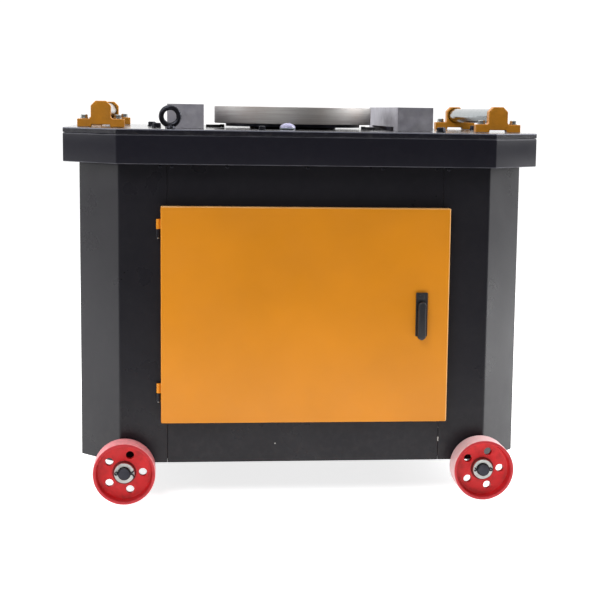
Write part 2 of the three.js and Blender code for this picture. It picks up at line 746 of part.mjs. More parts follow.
// A finned motor barrel on two feet, with a fan cowl behind and the shaft's bore in front.
function motorBody() {
  const { z, r, front, back, fins, finDepth } = MOTOR;
  const outline = Array.from({ length: fins * 2 }, (_, i) => {
    const angle = (Math.PI * i) / fins;
    const reach = i % 2 ? r : r - finDepth;
    return [WORM.x + reach * Math.cos(angle), z + reach * Math.sin(angle)];
  });
  const barrel = extrude(outline, "Y", front, back);
  const cowl = cylinder(COWL.r, "Y", back - OVER, COWL.back, WORM.x, z);
  const feet = MOTOR_FEET;
  const foot = box(
    WORM.x - feet.halfX,
    WORM.x + feet.halfX,
    feet.front,
    feet.back,
    feet.low,
    feet.high,
  );
  const boreR = MOTOR_SHAFT.r + 1;
  const bore = cylinder(boreR, "Y", front - OVER, MOTOR_SHAFT.boreBack, WORM.x, z);
  return cut(join(barrel, cowl, foot), bore);
}

function motorShaft() {
  const { r, back } = MOTOR_SHAFT;
  return cylinder(r, "Y", PULLEY.front - SHAFT_END, back, WORM.x, MOTOR.z);
}

function motorBase() {
  const { halfX, front, back, plate, legs, legHalf } = BASE;
  const left = WORM.x - halfX;
  const right = WORM.x + halfX;
  const high = MOTOR_FEET.low - GAP;
  const under = high - plate;
  const low = SHELL.bottom + FLOOR_THICK + GAP;
  const feet = legs.map((y) => box(left, right, y - legHalf, y + legHalf, low, under + OVER));
  return join(box(left, right, front, back, under, high), ...feet);
}

function terminalBox() {
  const { halfX, front, back, height } = TERMINALS;
  const low = MOTOR.z + MOTOR.r + GAP;
  return box(WORM.x - halfX, WORM.x + halfX, front, back, low, low + height);
}

function electricalBox() {
  const { left, right, depth, low, high } = ELECTRICS;
  const back = SHELL.halfY - SHELL.sheet - GAP;
  return box(left, right, back - depth, back, low, high);
}

// ---- wheels, axles, rollers, stop button ----
function wheel(x, y) {
  const { hubR, rimRoot, rimMouth, r, segments } = WHEEL;
  const { bore } = AXLE;
  const half = WHEEL.width / 2;
  const hub = WHEEL.hub / 2;
  const web = WHEEL.web / 2;
  const profile = [
    [bore, -hub],
    [hubR, -hub],
    [hubR, -web],
    [rimRoot, -web],
    [rimMouth, -half],
    [r, -half],
    [r, half],
    [rimMouth, half],
    [rimRoot, web],
    [hubR, web],
    [hubR, hub],
    [bore, hub],
    [bore, -hub],
  ];
  const body = turned(profile, "Y", 0, 0, segments, Math.PI / segments);
  const { count, circle: onCircle } = WHEEL_HOLES;
  const holes = Array.from({ length: count }, (_, i) => {
    const angle = (2 * Math.PI * i) / count;
    const a = onCircle * Math.cos(angle);
    const b = onCircle * Math.sin(angle);
    return cylinder(WHEEL_HOLES.r, "Y", -half, half, a, b, 8);
  });
  const geometry = geometryOf(cut(body, ...holes));
  geometry.translate(x, y, AXLE_Z);
  return solid(geometry);
}

function axle(x) {
  const phase = Math.PI / SEGMENTS;
  return cylinder(AXLE.r, "Y", -AXLE.halfY, AXLE.halfY, x, AXLE_Z, SEGMENTS, phase);
}

function roller(x) {
  return cylinder(ROLLER.r, "Y", -ROLLER.halfY, ROLLER.halfY, x, ROLLER.z);
}

function emergencyStop() {
  const profile = STOP_PROFILE.map(([r, out]) => [r, SHELL.halfX + out]);
  return turned(profile, "X", STOP.y, STOP.z);
}

// ---- assembly ----
add("table_plate", tablePlate(), "blackPaint");
for (const [name, body] of Object.entries(apronPieces())) {
  add(name, body, "blackPaint");
}
add("side_shell_left", sideShell(-1), "blackPaint");
add("side_shell_right", sideShell(1), "blackPaint");
add("front_panel", frontPanel(), "blackPaint");
add("rear_panel", rearPanel(), "blackPaint");
add("cable_gland", cableGland(), "blackPlastic");
add("floor_pan", floorPan(), "blackPaint");
add("stop_bar_left", stopBar(-1), "milledSteel");
add("stop_bar_right", stopBar(1), "milledSteel");
add("lifting_eye_front", liftingEye(-EYE.x, -EYE.y), "darkSteel");
add("lifting_eye_rear", liftingEye(EYE.x, EYE.y), "darkSteel");
add("indicator_lamp", indicatorLamp(), "lens");
add("limit_switch_left", limitSwitch(SWITCH_LEFT), "blackPlastic");
add("limit_switch_right", limitSwitch(SWITCH_RIGHT), "blackPlastic");

for (const [side, sign] of [["left", -1], ["right", 1]]) {
  add(`chassis_rail_${side}`, chassisRail(sign * WHEEL.x), "blackPaint");
  add(`gearbox_beam_${side}`, gearboxBeam(sign), "greyPaint");
  add(`axle_${side}`, axle(sign * WHEEL.x), "darkSteel");
  add(`roller_${side}`, roller(sign * BLOCK.x), "chrome");
  for (const [end, way] of [["front", -1], ["rear", 1]]) {
    const block = bearingBlock(sign * BLOCK.x, way * BLOCK.y, -way);
    add(`bearing_block_${end}_${side}`, block, "ochrePaint");
    add(`wheel_${end}_${side}`, wheel(sign * WHEEL.x, way * WHEEL.y), "redPaint");
  }
}

add("door", doorPan(), "orangePaint");
add("hinge_knuckle_low", hingeKnuckle(HINGE.centres[0]), "blackPaint");
add("hinge_knuckle_high", hingeKnuckle(HINGE.centres[1]), "blackPaint");
add("lock_plate", lockPlate(), "blackPlastic");
add("lock_spindle", lockSpindle(), "darkSteel");
add("lock_lever", lockLever(), "blackPlastic");

add("working_disc", workingDisc(), "turnedSteel");
add("angle_ring", angleRing(), "darkSteel");
add("main_shaft", mainShaft(), "darkSteel");
add("main_bearing", mainBearing(), "castIron");
add("worm_wheel", wormWheel(), "castIron");
add("worm", wormScrew(), "darkSteel");
add("change_gear", changeGear(), "darkSteel");
add("input_shaft", inputShaft(), "darkSteel");
add("input_bracket", inputBracket(), "castIron");
add("input_pulley", pulley(PULLEY.inputR, INPUT_Z, INPUT_R), "castIron");
add("gearbox_housing", gearboxHousing(), "greyPaint");
add("gearbox_cover", gearboxCover(), "greyPaint");
add("drive_belt", driveBelt(), "rubber");
add("motor_pulley", pulley(PULLEY.motorR, MOTOR.z, MOTOR_SHAFT.r), "castIron");
add("motor_shaft", motorShaft(), "darkSteel");
add("motor_body", motorBody(), "greyPaint");
add("motor_base", motorBase(), "blackPaint");
add("terminal_box", terminalBox(), "blackPlastic");
add("electrical_box", electricalBox(), "greyPaint");
add("emergency_stop", emergencyStop(), "redPlastic");

export default machine;
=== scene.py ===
# Looks of the rebar bending machine: fine pieces, paint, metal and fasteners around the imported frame.
# Metres, in the frame's own axes: +X right, -Y towards the door, +Z up.
from math import asin, cos, degrees, hypot, pi, radians, sin, sqrt, tan

import bmesh
import bpy
from mathutils import Matrix, Vector


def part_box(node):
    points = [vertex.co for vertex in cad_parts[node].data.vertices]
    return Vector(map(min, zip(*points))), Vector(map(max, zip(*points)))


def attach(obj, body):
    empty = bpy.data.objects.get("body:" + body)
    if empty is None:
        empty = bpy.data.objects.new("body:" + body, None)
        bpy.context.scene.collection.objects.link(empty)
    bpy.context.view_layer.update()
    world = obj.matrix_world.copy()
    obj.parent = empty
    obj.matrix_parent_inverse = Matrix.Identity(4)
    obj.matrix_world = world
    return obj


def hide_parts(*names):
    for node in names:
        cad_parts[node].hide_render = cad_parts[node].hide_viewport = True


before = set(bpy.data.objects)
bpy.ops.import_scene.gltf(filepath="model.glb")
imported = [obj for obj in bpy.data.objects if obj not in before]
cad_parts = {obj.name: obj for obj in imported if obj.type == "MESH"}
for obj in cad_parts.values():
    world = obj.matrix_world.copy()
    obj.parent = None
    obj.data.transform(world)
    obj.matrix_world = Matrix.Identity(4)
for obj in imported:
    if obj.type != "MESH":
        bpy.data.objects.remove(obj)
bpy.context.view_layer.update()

ROOT = "machine"


# ---- camera, floor and light ----
def make_camera():
    place = Vector((-0.2776, -3.5346, 0.7907))
    yaw, pitch, roll = 0.12025, -0.14331, 0.01583
    forward = Vector(
        (sin(yaw) * cos(pitch), cos(yaw) * cos(pitch), sin(pitch))
    )
    level = Vector((cos(yaw), -sin(yaw), 0))
    upright = level.cross(forward)
    right = level * cos(roll) + upright * sin(roll)
    up = upright * cos(roll) - level * sin(roll)
    data = bpy.data.cameras.new("camera")
    data.sensor_width = 36
    data.lens = 93.67
    data.shift_x = -0.09205
    data.shift_y = 0.06
    camera = bpy.data.objects.new("camera", data)
    axes = Matrix((right, up, -forward)).transposed()
    camera.matrix_world = Matrix.Translation(place) @ axes.to_4x4()
    bpy.context.scene.collection.objects.link(camera)
    bpy.context.scene.camera = camera


def area_light(name, place, aim, size, power, colour=(1, 1, 1)):
    data = bpy.data.lights.new(name, "AREA")
    data.shape = "RECTANGLE"
    data.size, data.size_y = size
    data.energy = power
    data.color = colour
    light = bpy.data.objects.new(name, data)
    light.location = place
    light.rotation_euler = (Vector(aim) - Vector(place)).to_track_quat("-Z", "Y").to_euler()
    bpy.context.scene.collection.objects.link(light)


def make_studio():
    """A white floor that fades into a darker room behind the camera, and soft boxes around. The floor
    also glows: painted light that washes out the machine's shadows and lights it from below.
    """
    mesh = bpy.data.meshes.new("floor")
    reach = 12
    corners = [(x, y, 0) for x, y in rectangle(-reach, reach, -reach, reach)]
    mesh.from_pydata(corners, [], [(0, 1, 2, 3)])
    floor = bpy.data.objects.new("floor", mesh)
    bpy.context.scene.collection.objects.link(floor)
    paper = Shader("floor_paper")
    tone = paper.cloud((0.7, 2), 0.35, 0.65, 0.86, 0.88)
    lit = paper.maths("ADD", paper.times(paper.along("Y"), 0.5), 1.05)
    fade = paper.ramp(lit, [(0.0, 0.0), (0.22, 0.12), (0.5, 1.0)])
    tone = paper.mix(fade, (0.13, 0.13, 0.13), tone)
    # the glow is painted light: it lifts the shadows on the floor and lights the machine from below
    paper.set(base=tone, roughness=0.9, specular=0.1, glow=fade, glow_strength=0.78)
    mesh.materials.append(paper.material)
    world = bpy.data.worlds.new("studio")
    world.use_nodes = True
    room = Nodes(world.node_tree)
    deep = room.new("SeparateXYZ", {0: room.new("TexCoord", {}, "Generated")}, "Y")
    share = room.new("MapRange", {"Value": deep, "From Min": -1})
    stops = [(0.0, 0.1), (0.3, 0.15), (0.58, 0.3), (0.76, 0.7), (0.9, 1.0)]
    background = room.tree.nodes["Background"]
    room.plug(background.inputs["Color"], room.ramp(share, stops))
    background.inputs["Strength"].default_value = 1.1
    bpy.context.scene.world = world
    area_light("key", (-1.6, -2.9, 3.0), (0, -0.2, 0.45), (1.8, 1.8), 72)
    area_light("top", (0.2, 0.5, 3.4), (0, 0.1, 0.5), (4.6, 4.6), 95)
    area_light("right", (3.4, 0.2, 1.9), (1.6, -0.1, 0.2), (1.6, 2.2), 130)
    area_light("left", (-3.2, 0.2, 1.7), (-1.2, 0, 0.3), (1.4, 2.0), 46)
    bpy.context.scene.view_settings.view_transform = "Standard"


# ---- shader building ----
class Nodes:
    """A node tree that is built one call at a time."""

    def __init__(self, tree):
        self.tree = tree

    def new(self, kind, inputs, output=0, **settings):
        """One output of a new node, with its inputs plugged by name or by number."""
        node = self.tree.nodes.new("ShaderNode" + kind)
        for key, value in settings.items():
            setattr(node, key, value)
        for key, value in inputs.items():
            self.plug(node.inputs[key], value)
        return node.outputs[output]

    def plug(self, socket, value):
        if isinstance(value, bpy.types.NodeSocket):
            self.tree.links.new(value, socket)
        elif isinstance(value, (tuple, list)) and len(socket.default_value) == 4:
            socket.default_value = (*value[:3], 1)
        else:
            socket.default_value = value

    def ramp(self, value, stops):
        colours = self.new("ValToRGB", {"Fac": value}, "Color")
        ramp = colours.node.color_ramp
        while len(ramp.elements) < len(stops):
            ramp.elements.new(0.5)
        for element, (position, colour) in zip(ramp.elements, stops):
            element.position = position
            grey = colour if isinstance(colour, tuple) else (colour,) * 3
            element.color = (*grey, 1)
        return colours


class Shader(Nodes):
    """A material. Its coordinates are the frame's metres."""

    def __init__(self, name):
        self.material = bpy.data.materials.new(name)
        self.material.use_nodes = True
        super().__init__(self.material.node_tree)
        self.surface = self.tree.nodes["Principled BSDF"]
        self.place = self.new("TexCoord", {}, "Object")

    def stretch(self, scale, turn=(0, 0, 0)):
        return self.new("Mapping", {"Vector": self.place, "Scale": scale, "Rotation": turn})

    def noise(self, scale, detail=3, rough=0.5, place=None):
        inputs = {"Vector": place or self.place, "Scale": scale, "Detail": detail}
        return self.new("TexNoise", {**inputs, "Roughness": rough}, "Fac")

    def cloud(self, noise, low, high, first=0.0, second=1.0):
        """Noise that runs from one value or colour, where it's low, to another."""
        return self.ramp(self.noise(*noise), [(low, first), (high, second)])

    def mix(self, share, first, second):
        return self.new("Mix", {"Factor": share, 6: first, 7: second}, 2, data_type="RGBA")

    def maths(self, operation, first, second=0.5):
        return self.new("Math", {0: first, 1: second}, operation=operation)

    def times(self, first, second):
        return self.maths("MULTIPLY", first, second)

    def along(self, axis):
        """A point's coordinate along one axis of the frame."""
        return self.new("SeparateXYZ", {0: self.place}, axis)

    def band(self, axis, middle, half):
        """1 within half of a coordinate, fading to 0 just beyond."""
        away = self.maths("ABSOLUTE", self.maths("SUBTRACT", self.along(axis), middle), 0.0)
        return self.ramp(self.times(away, 0.5 / half), [(0.4, 1.0), (0.6, 0.0)])

    def from_line(self, x, z):
        """How far a point is from the line along Y through (x, z), on either side of the middle."""
        across = self.maths("SUBTRACT", self.maths("ABSOLUTE", self.along("X"), 0.0), x)
        up = self.maths("SUBTRACT", self.along("Z"), z)
        squares = [self.times(value, value) for value in (across, up)]
        return self.maths("SQRT", self.maths("ADD", *squares), 0.0)

    def bump(self, value, strength, distance, onto=None):
        inputs = {"Height": value, "Strength": strength, "Distance": distance}
        if onto is not None:
            inputs["Normal"] = onto
        return self.new("Bump", inputs, "Normal")

    def set(self, **sockets):
        names = {
            "base": "Base Color",
            "specular": "Specular IOR Level",
            "coat": "Coat Weight",
            "transmission": "Transmission Weight",
            "ior": "IOR",
            "glow": "Emission Color",
            "glow_strength": "Emission Strength",
        }
        for key, value in sockets.items():
            name = names.get(key, key.replace("_", " ").title())
            self.plug(self.surface.inputs[name], value)
        return self.material


def scaled(colour, share):
    return tuple(c * share for c in colour)


def powder_coat(name, colour, worn, roughness, specular=0.5, dust=0.05, edges=()):
    """Sprayed and baked paint: fine orange peel, faint blotches, scuffs, a little dust and painted
    highlights along the given edges.
    """
    s = Shader(name)
    blotch = s.cloud((5, 4), 0.3, 0.7)
    base = s.mix(blotch, scaled(colour, 0.93), scaled(colour, 1.06))
    scratch_place = s.stretch((1.0, 1.0, 14.0), (0.4, 0.7, 0.2))
    scratch = s.cloud((38, 6, 0.7, scratch_place), 0.68, 0.74)
    patch = s.cloud((9, 3), 0.52, 0.66)
    scuff = s.times(scratch, patch)
    base = s.mix(s.times(scuff, 0.35), base, worn)
    powder = s.cloud((60, 6, 0.65), 0.45, 0.8)
    low = s.ramp(s.times(s.along("Z"), 4.0), [(0.2, 1.0), (1.0, 0.25)])
    film = s.times(s.times(powder, low), dust)
    base = s.mix(film, base, (0.42, 0.4, 0.37))
    # painted highlights: each given edge is lightened towards the worn colour, in patches
    for edge in edges:
        shine_band = s.times(s.band(*edge), s.cloud((17, 4), 0.3, 0.6, 0.35, 0.8))
        base = s.mix(shine_band, base, worn)
    shine = s.cloud((14, 5), 0.3, 0.7, roughness - 0.04, roughness + 0.06)
    shine = s.mix(s.times(scuff, 0.6), shine, (0.7, 0.7, 0.7))
    peel = s.bump(s.noise(420, 2), 0.10, 0.0006)
    peel = s.bump(s.noise(1.4, 2), 0.25, 0.004, peel)
    return s.set(base=base, roughness=shine, specular=specular, normal=peel)


def plate_paint(top):
    """The table's darker, duller paint, rubbed to a shine on the face that the bars slide over, with a
    painted highlight along its upper edge.
    """
    s = Shader("table_plate_coat")
    base = s.mix(s.cloud((5, 4), 0.3, 0.7), TABLE_BLACK, scaled(TABLE_BLACK, 0.85))
    powder = s.cloud((60, 6, 0.65), 0.5, 0.8, 0.0, 0.05)
    base = s.mix(powder, base, (0.42, 0.4, 0.37))
    # painted highlight: a pale lavender line along the plate's upper edge
    base = s.mix(s.times(s.band("Z", top - 0.0012, 0.0010), 0.8), base, (0.2, 0.205, 0.25))
    shine_band = s.band("Z", top + 0.001, 0.0012)
    dull = s.cloud((11, 5, 0.6), 0.35, 0.7, 1.0, 0.7)
    coat = s.times(shine_band, dull)
    normal = s.bump(s.noise(420, 2), 0.08, 0.0005)
    return s.set(base=base, roughness=0.26, specular=0.2, normal=normal, coat=coat, coat_roughness=0.1)


def cast_enamel(name, colour, worn, roughness):
    """Enamel over a sand casting: lumpy skin, darker hollows, chips that show the grey iron."""
    s = Shader(name)
    base = s.mix(s.cloud((30, 4), 0.3, 0.7), scaled(colour, 0.8), colour)
    grime = s.cloud((55, 6, 0.7), 0.5, 0.72)
    base = s.mix(s.times(grime, 0.3), base, scaled(colour, 0.35))
    chip = s.cloud((120, 7, 0.72), 0.68, 0.705)
    base = s.mix(chip, base, worn)
    shine = s.cloud((40, 5), 0.3, 0.7, roughness - 0.08, roughness + 0.1)
    skin = s.bump(s.noise(180, 5, 0.6), 0.5, 0.0007)
    skin = s.bump(chip, -0.4, 0.0004, skin)
    return s.set(base=base, roughness=shine, normal=skin)


def tread_enamel(colour, dull, chalky, line):
    """The wheels' enamel: deep red web, a near-black ring round the hub, painted shade in the corner
    between web and rim, and a tread worn chalky pink.
    """
    s = Shader("red_wheel_enamel")
    base = s.mix(s.cloud((24, 4), 0.3, 0.7), scaled(colour, 0.85), colour)
    r = s.times(s.from_line(*line), 10.0)
    lip = s.ramp(r, [(0.545, 0.0), (0.565, 1.0)])
    base = s.mix(s.times(lip, 0.6), base, dull)
    grime = s.cloud((60, 7, 0.7), 0.5, 0.72)
    base = s.mix(s.times(grime, 0.4), base, (0.16, 0.012, 0.01))
    # painted shade: darker patches in the corner where the web meets the rim's wall
    hollow = s.ramp(r, [(0.44, 0.0), (0.515, 1.0), (0.548, 1.0), (0.56, 0.0)])
    painted_corner_shade = s.times(hollow, s.cloud((26, 5, 0.6), 0.46, 0.66, 0.0, 0.35))
    base = s.mix(painted_corner_shade, base, (0.11, 0.016, 0.013))
    # a near-black ring round the washer, over the hub's rim and wall
    hub_dark_ring = s.ramp(r, [(0.205, 0.0), (0.212, 1.0), (0.228, 1.0), (0.25, 0.0)])
    base = s.mix(s.times(hub_dark_ring, 0.85), base, (0.035, 0.016, 0.014))
    worn = s.ramp(r, [(0.612, 0.0), (0.619, 1.0)])
    tread = s.mix(s.cloud((95, 6, 0.75), 0.42, 0.68, 0.0, 0.6), chalky, (0.3, 0.17, 0.155))
    dusty = s.cloud((130, 6, 0.75), 0.3, 0.6, 0.45, 0.95)
    dusty = s.times(dusty, s.ramp(s.along("X"), [(0.0, 0.0), (0.3, 1.0)]))
    tread = s.mix(dusty, tread, (0.8, 0.6, 0.61))
    base = s.mix(s.times(worn, 0.92), base, tread)
    skin = s.bump(s.noise(160, 5, 0.6), 0.4, 0.0006)
    shine = s.cloud((30, 4), 0.3, 0.7, 0.4, 0.58)
    return s.set(base=base, roughness=shine, specular=0.34, normal=skin)


def milled_steel():
    """Face-milled bar: overlapping cutter sweeps, a purple-grey oxide cast and small nicks."""
    s = Shader("milled_steel")
    tone = s.cloud((26, 6, 0.6), 0.3, 0.7, (0.39, 0.378, 0.435), (0.53, 0.52, 0.58))
    sweep = s.cloud((10, 3, 0.5, s.stretch((6, 60, 6))), 0.35, 0.65, 0.0, 0.35)
    tone = s.mix(sweep, tone, (0.68, 0.67, 0.7))
    rust = s.cloud((42, 7, 0.7), 0.66, 0.74)
    tone = s.mix(s.times(rust, 0.5), tone, (0.24, 0.16, 0.12))
    shine = s.cloud((55, 5), 0.3, 0.7, 0.42, 0.6)
    marks = s.bump(s.noise(22, 3, 0.5, s.stretch((5, 90, 5))), 0.25, 0.0003)
    marks = s.bump(s.noise(260, 4), 0.2, 0.0003, marks)
    return s.set(base=tone, roughness=shine, metallic=0.85, normal=marks)


def turned_steel():
    """Lathe-turned rim and faced top: fine rings, streaks and a slight tarnish."""
    s = Shader("turned_steel")
    streak = (9, 5, 0.6, s.stretch((1, 1, 90)))
    tone = s.cloud(streak, 0.3, 0.7, (0.36, 0.342, 0.33), (0.5, 0.487, 0.475))
    tarnish = s.cloud((13, 5, 0.6), 0.45, 0.75)
    tone = s.mix(s.times(tarnish, 0.45), tone, (0.38, 0.31, 0.275))
    pits = s.cloud((85, 7, 0.7), 0.68, 0.72)
    tone = s.mix(s.times(pits, 0.6), tone, (0.08, 0.07, 0.065))
    shine = s.cloud((7, 4, 0.6, s.stretch((1, 1, 40))), 0.3, 0.7, 0.56, 0.66)
    rings = s.bump(s.noise(12, 3, 0.5, s.stretch((1, 1, 160))), 0.3, 0.0002)
    return s.set(base=tone, roughness=shine, metallic=1.0, normal=rings)


def plain_metal(name, colour, roughness, grain, spread=0.12, oil=0.3):
    """Machined or plated metal with faint grain and darker, oilier patches."""
    s = Shader(name)
    dark = scaled(colour, 1 - oil)
    base = s.mix(s.cloud((48, 6, 0.65), 0.35, 0.7), dark, colour)
    shine = s.cloud((70, 5), 0.3, 0.7, max(0.04, roughness - spread / 2), roughness + spread)
    normal = s.bump(s.noise(grain, 4), 0.14, 0.0003)
    return s.set(base=base, roughness=shine, metallic=1.0, normal=normal)


def moulded_plastic(name, colour, roughness):
    """Moulded plastic with spark-eroded texture."""
    s = Shader(name)
    base = s.mix(s.cloud((70, 4), 0.3, 0.7), scaled(colour, 0.85), colour)
    shine = s.cloud((25, 4), 0.3, 0.7, roughness - 0.05, roughness + 0.07)
    return s.set(base=base, roughness=shine, normal=s.bump(s.noise(1400, 2), 0.18, 0.0002))


def belt_rubber():
    s = Shader("belt_rubber")
    base = s.cloud((120, 5), 0.3, 0.7, (0.008, 0.008, 0.008), (0.02, 0.02, 0.02))
    return s.set(base=base, roughness=0.75, normal=s.bump(s.noise(500, 3), 0.3, 0.0004))


def lamp_lens():
    s = Shader("lamp_lens")
    base = s.cloud((90, 3), 0.3, 0.7, (0.55, 0.53, 0.82), (0.75, 0.74, 0.93))
    return s.set(base=base, roughness=0.12, transmission=0.55, ior=1.49)


BLACK, WEAR_AND_HIGHLIGHT_BLACK = (0.0122, 0.0116, 0.0150), (0.085, 0.085, 0.1)
TABLE_BLACK = (0.0118, 0.0115, 0.0165)
ORANGE, WEAR_AND_HIGHLIGHT_ORANGE = (0.645, 0.232, 0.0095), (0.85, 0.5, 0.2)
OCHRE = (0.69, 0.27, 0.014)
RED, DULL_RED, PINK = (0.66, 0.012, 0.016), (0.36, 0.03, 0.04), (1.0, 0.34, 0.37)
IRON_CHIP = (0.1, 0.085, 0.075)


def make_materials():
    low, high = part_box("apron_front")
    # painted highlights along the apron's lower and upper rims
    rims = [("Z", low.z, 0.0016), ("Z", high.z, 0.0026)]
    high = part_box("door")[1]
    # painted highlights along the door's top and right edges
    edges = [("Z", high.z, 0.0022), ("X", high.x, 0.0022)]
    table = (TABLE_BLACK, WEAR_AND_HIGHLIGHT_BLACK, 0.32, 0.07, 0.02, rims)
    orange = (ORANGE, WEAR_AND_HIGHLIGHT_ORANGE, 0.36, 0.3, 0.02, edges)
    return {
        "black_paint": powder_coat("black_powder_coat", BLACK, WEAR_AND_HIGHLIGHT_BLACK, 0.3, 0.24, 0.03),
        "table_paint": powder_coat("table_powder_coat", *table),
        "plate_paint": plate_paint(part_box("table_plate")[1].z),
        "orange_paint": powder_coat("orange_powder_coat", *orange),
        "ochre_paint": cast_enamel("ochre_enamel", OCHRE, IRON_CHIP, 0.42),
        "red_paint": tread_enamel(RED, DULL_RED, PINK, (0.3665, 0.0623)),
        "grey_paint": powder_coat("grey_enamel", (0.075, 0.085, 0.095), (0.2, 0.2, 0.2), 0.45),
        "milled_steel": milled_steel(),
        "turned_steel": turned_steel(),
        "chrome": plain_metal("hard_chrome", (0.2, 0.24, 0.255), 0.12, 300, 0.06, 0.12),
        "dark_steel": plain_metal("black_oxide_steel", (0.045, 0.046, 0.056), 0.35, 260),
        "cast_iron": plain_metal("raw_cast_iron", (0.09, 0.088, 0.085), 0.62, 160, 0.15, 0.4),
        "zinc_steel": plain_metal("zinc_plate", (0.46, 0.47, 0.455), 0.34, 220),
        "belt_rubber": belt_rubber(),
        "black_plastic": moulded_plastic("black_plastic", (0.014, 0.014, 0.017), 0.42),
        "red_plastic": moulded_plastic("red_plastic", (0.5, 0.012, 0.014), 0.3),
        "lamp_lens": lamp_lens(),
    }


# ---- mesh building ----
AXES = {
    "X": lambda a, b, along: Vector((along, a, b)),
    "Y": lambda a, b, along: Vector((a, along, b)),
    "Z": lambda a, b, along: Vector((a, b, along)),
}
# the same, for reading a place: the indices of a, b and along
INDICES = {"X": (1, 2, 0), "Y": (0, 2, 1), "Z": (0, 1, 2)}


def link_mesh(name, bm):
    """A new object from a bmesh, with its normals facing out."""
    bmesh.ops.recalc_face_normals(bm, faces=bm.faces)
    mesh = bpy.data.meshes.new(name)
    bm.to_mesh(mesh)
    bm.free()
    thing = bpy.data.objects.new(name, mesh)
    bpy.context.scene.collection.objects.link(thing)
    return thing


def piece(name, bm, slot, body=ROOT, replaces=(), smooth=32):
    """Links a finished bmesh as a piece, with its material, body and slot."""
    bmesh.ops.remove_doubles(bm, verts=bm.verts, dist=1e-6)
    thing = link_mesh(name, bm)
    mesh = thing.data
    mesh.materials.append(MATERIALS[slot])
    shade(mesh, smooth)
    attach(thing, body)
    if replaces:
        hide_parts(*replaces)
    return thing


def soften(thing, width, segments=3, angle=30):
    """Rounds the piece's edges with a bevel that keeps flat faces flat."""
    bevel = thing.modifiers.new("edges", "BEVEL")
    bevel.width = width
    bevel.segments = segments
    bevel.limit_method = "ANGLE"
    bevel.angle_limit = radians(angle)
    bevel.harden_normals = True
    bevel.use_clamp_overlap = True


def loop(bm, outline, axis, along):
    """New vertices on an outline in the two axes other than the given one."""
    return [bm.verts.new(AXES[axis](a, b, along)) for a, b in outline]


def ring_loft(bm, rings, closed):
    """Joins rings of vertices, or single vertices, into quads and triangles."""
    following = rings[1:] + rings[:1] if closed else rings[1:]
    for first, second in zip(rings, following):
        count = max(len(first), len(second))
        if count == 1:
            continue
        for i in range(count):
            j = (i + 1) % count
            if len(first) == 1:
                bm.faces.new((first[0], second[j], second[i]))
            elif len(second) == 1:
                bm.faces.new((first[i], first[j], second[0]))
            else:
                bm.faces.new((first[i], first[j], second[j], second[i]))


def capped_loft(bm, rings):
    bm.faces.new(rings[0])
    bm.faces.new(rings[-1])
    ring_loft(bm, rings, closed=False)


def turn(bm, profile, axis, centre, count=64, phase=0.0):
    """Turns a profile of (radius, distance along the axis) about an axis through centre.
    A profile that starts off the axis is closed onto itself."""
    rings = []
    for r, along in profile:
        outline = circle(r, centre, count, phase) if r else [centre]
        rings.append(loop(bm, outline, axis, along))
    ring_loft(bm, rings, closed=profile[0][0] > 0)
    return bm


def prism(bm, outline, axis, low, high):
    """An outline in the two axes other than the given one, extruded from low to high."""
    capped_loft(bm, [loop(bm, outline, axis, along) for along in (low, high)])
    return bm


def hollow_prism(bm, outer, inner, axis, low, high):
    """The wall between two outlines with the same number of corners, extruded from low to high."""
    walls = [(outer, low), (outer, high), (inner, high), (inner, low)]
    ring_loft(bm, [loop(bm, outline, axis, along) for outline, along in walls], closed=True)
    return bm


def block(bm, low, high):
    return prism(bm, rectangle(low[0], high[0], low[1], high[1]), "Z", low[2], high[2])


def circle(r, centre=(0, 0), count=48, phase=0.0):
    angles = [phase + 2 * pi * i / count for i in range(count)]
    return [(centre[0] + r * cos(a), centre[1] + r * sin(a)) for a in angles]


def arc(start, end, steps):
    """Angles in radians between two angles in degrees."""
    return [radians(start + (end - start) * i / steps) for i in range(steps + 1)]


def drum(r, low, high, bore=0):
    """The profile of a disc or of a ring with square edges."""
    return [(bore, low), (r, low), (r, high), (bore, high)]


def barrel(r, low, high, edge):
    """The profile of a bar with chamfered ends."""
    return [(0, low), (r - edge, low), (r, low + edge), (r, high - edge), (r - edge, high), (0, high)]


def mirrored(outline):
    """An outline's right half joined to its mirror image."""
    return outline + [(-a, b) for a, b in reversed(outline)]


def rounded(corners, radius, steps=6):
    """A closed outline with each corner replaced by an arc of that radius."""
    points = []
    for i, corner in enumerate(corners):
        here = Vector(corner)
        back = (Vector(corners[i - 1]) - here).normalized()
        ahead = (Vector(corners[(i + 1) % len(corners)]) - here).normalized()
        half = back.angle(ahead) / 2
        reach = radius / tan(half)
        middle = here + (back + ahead).normalized() * radius / sin(half)
        first, last = here + back * reach - middle, here + ahead * reach - middle
        sweep = first.angle_signed(last)
        for step in range(steps + 1):
            a = -sweep * step / steps
            x = first.x * cos(a) - first.y * sin(a)
            y = first.x * sin(a) + first.y * cos(a)
            points.append((middle.x + x, middle.y + y))
    return points


def rectangle(x0, x1, y0, y1):
    return [(x0, y0), (x1, y0), (x1, y1), (x0, y1)]


def shade(mesh, angle):
    mesh.shade_smooth()
    mesh.set_sharp_from_angle(angle=radians(angle))


def carve(thing, cutter, smooth=32):
    """Cuts the solids of a bmesh out of a piece and joins up its flat faces."""
    tool = link_mesh("cutter", cutter)
    cut = thing.modifiers.new("cut", "BOOLEAN")
    cut.operation = "DIFFERENCE"
    cut.solver = "EXACT"
    cut.object = tool
    bpy.context.view_layer.update()
    graph = bpy.context.evaluated_depsgraph_get()
    spent = [thing.data, tool.data]
    thing.data = bpy.data.meshes.new_from_object(thing.evaluated_get(graph))
    thing.modifiers.remove(cut)
    bpy.data.objects.remove(tool)
    for mesh in spent:
        bpy.data.meshes.remove(mesh)
    bm = bmesh.new()
    bm.from_mesh(thing.data)
    bmesh.ops.remove_doubles(bm, verts=bm.verts, dist=1e-5)
    bmesh.ops.dissolve_limit(bm, angle_limit=radians(0.6), verts=bm.verts, edges=bm.edges)
    bm.to_mesh(thing.data)
    bm.free()
    shade(thing.data, smooth)


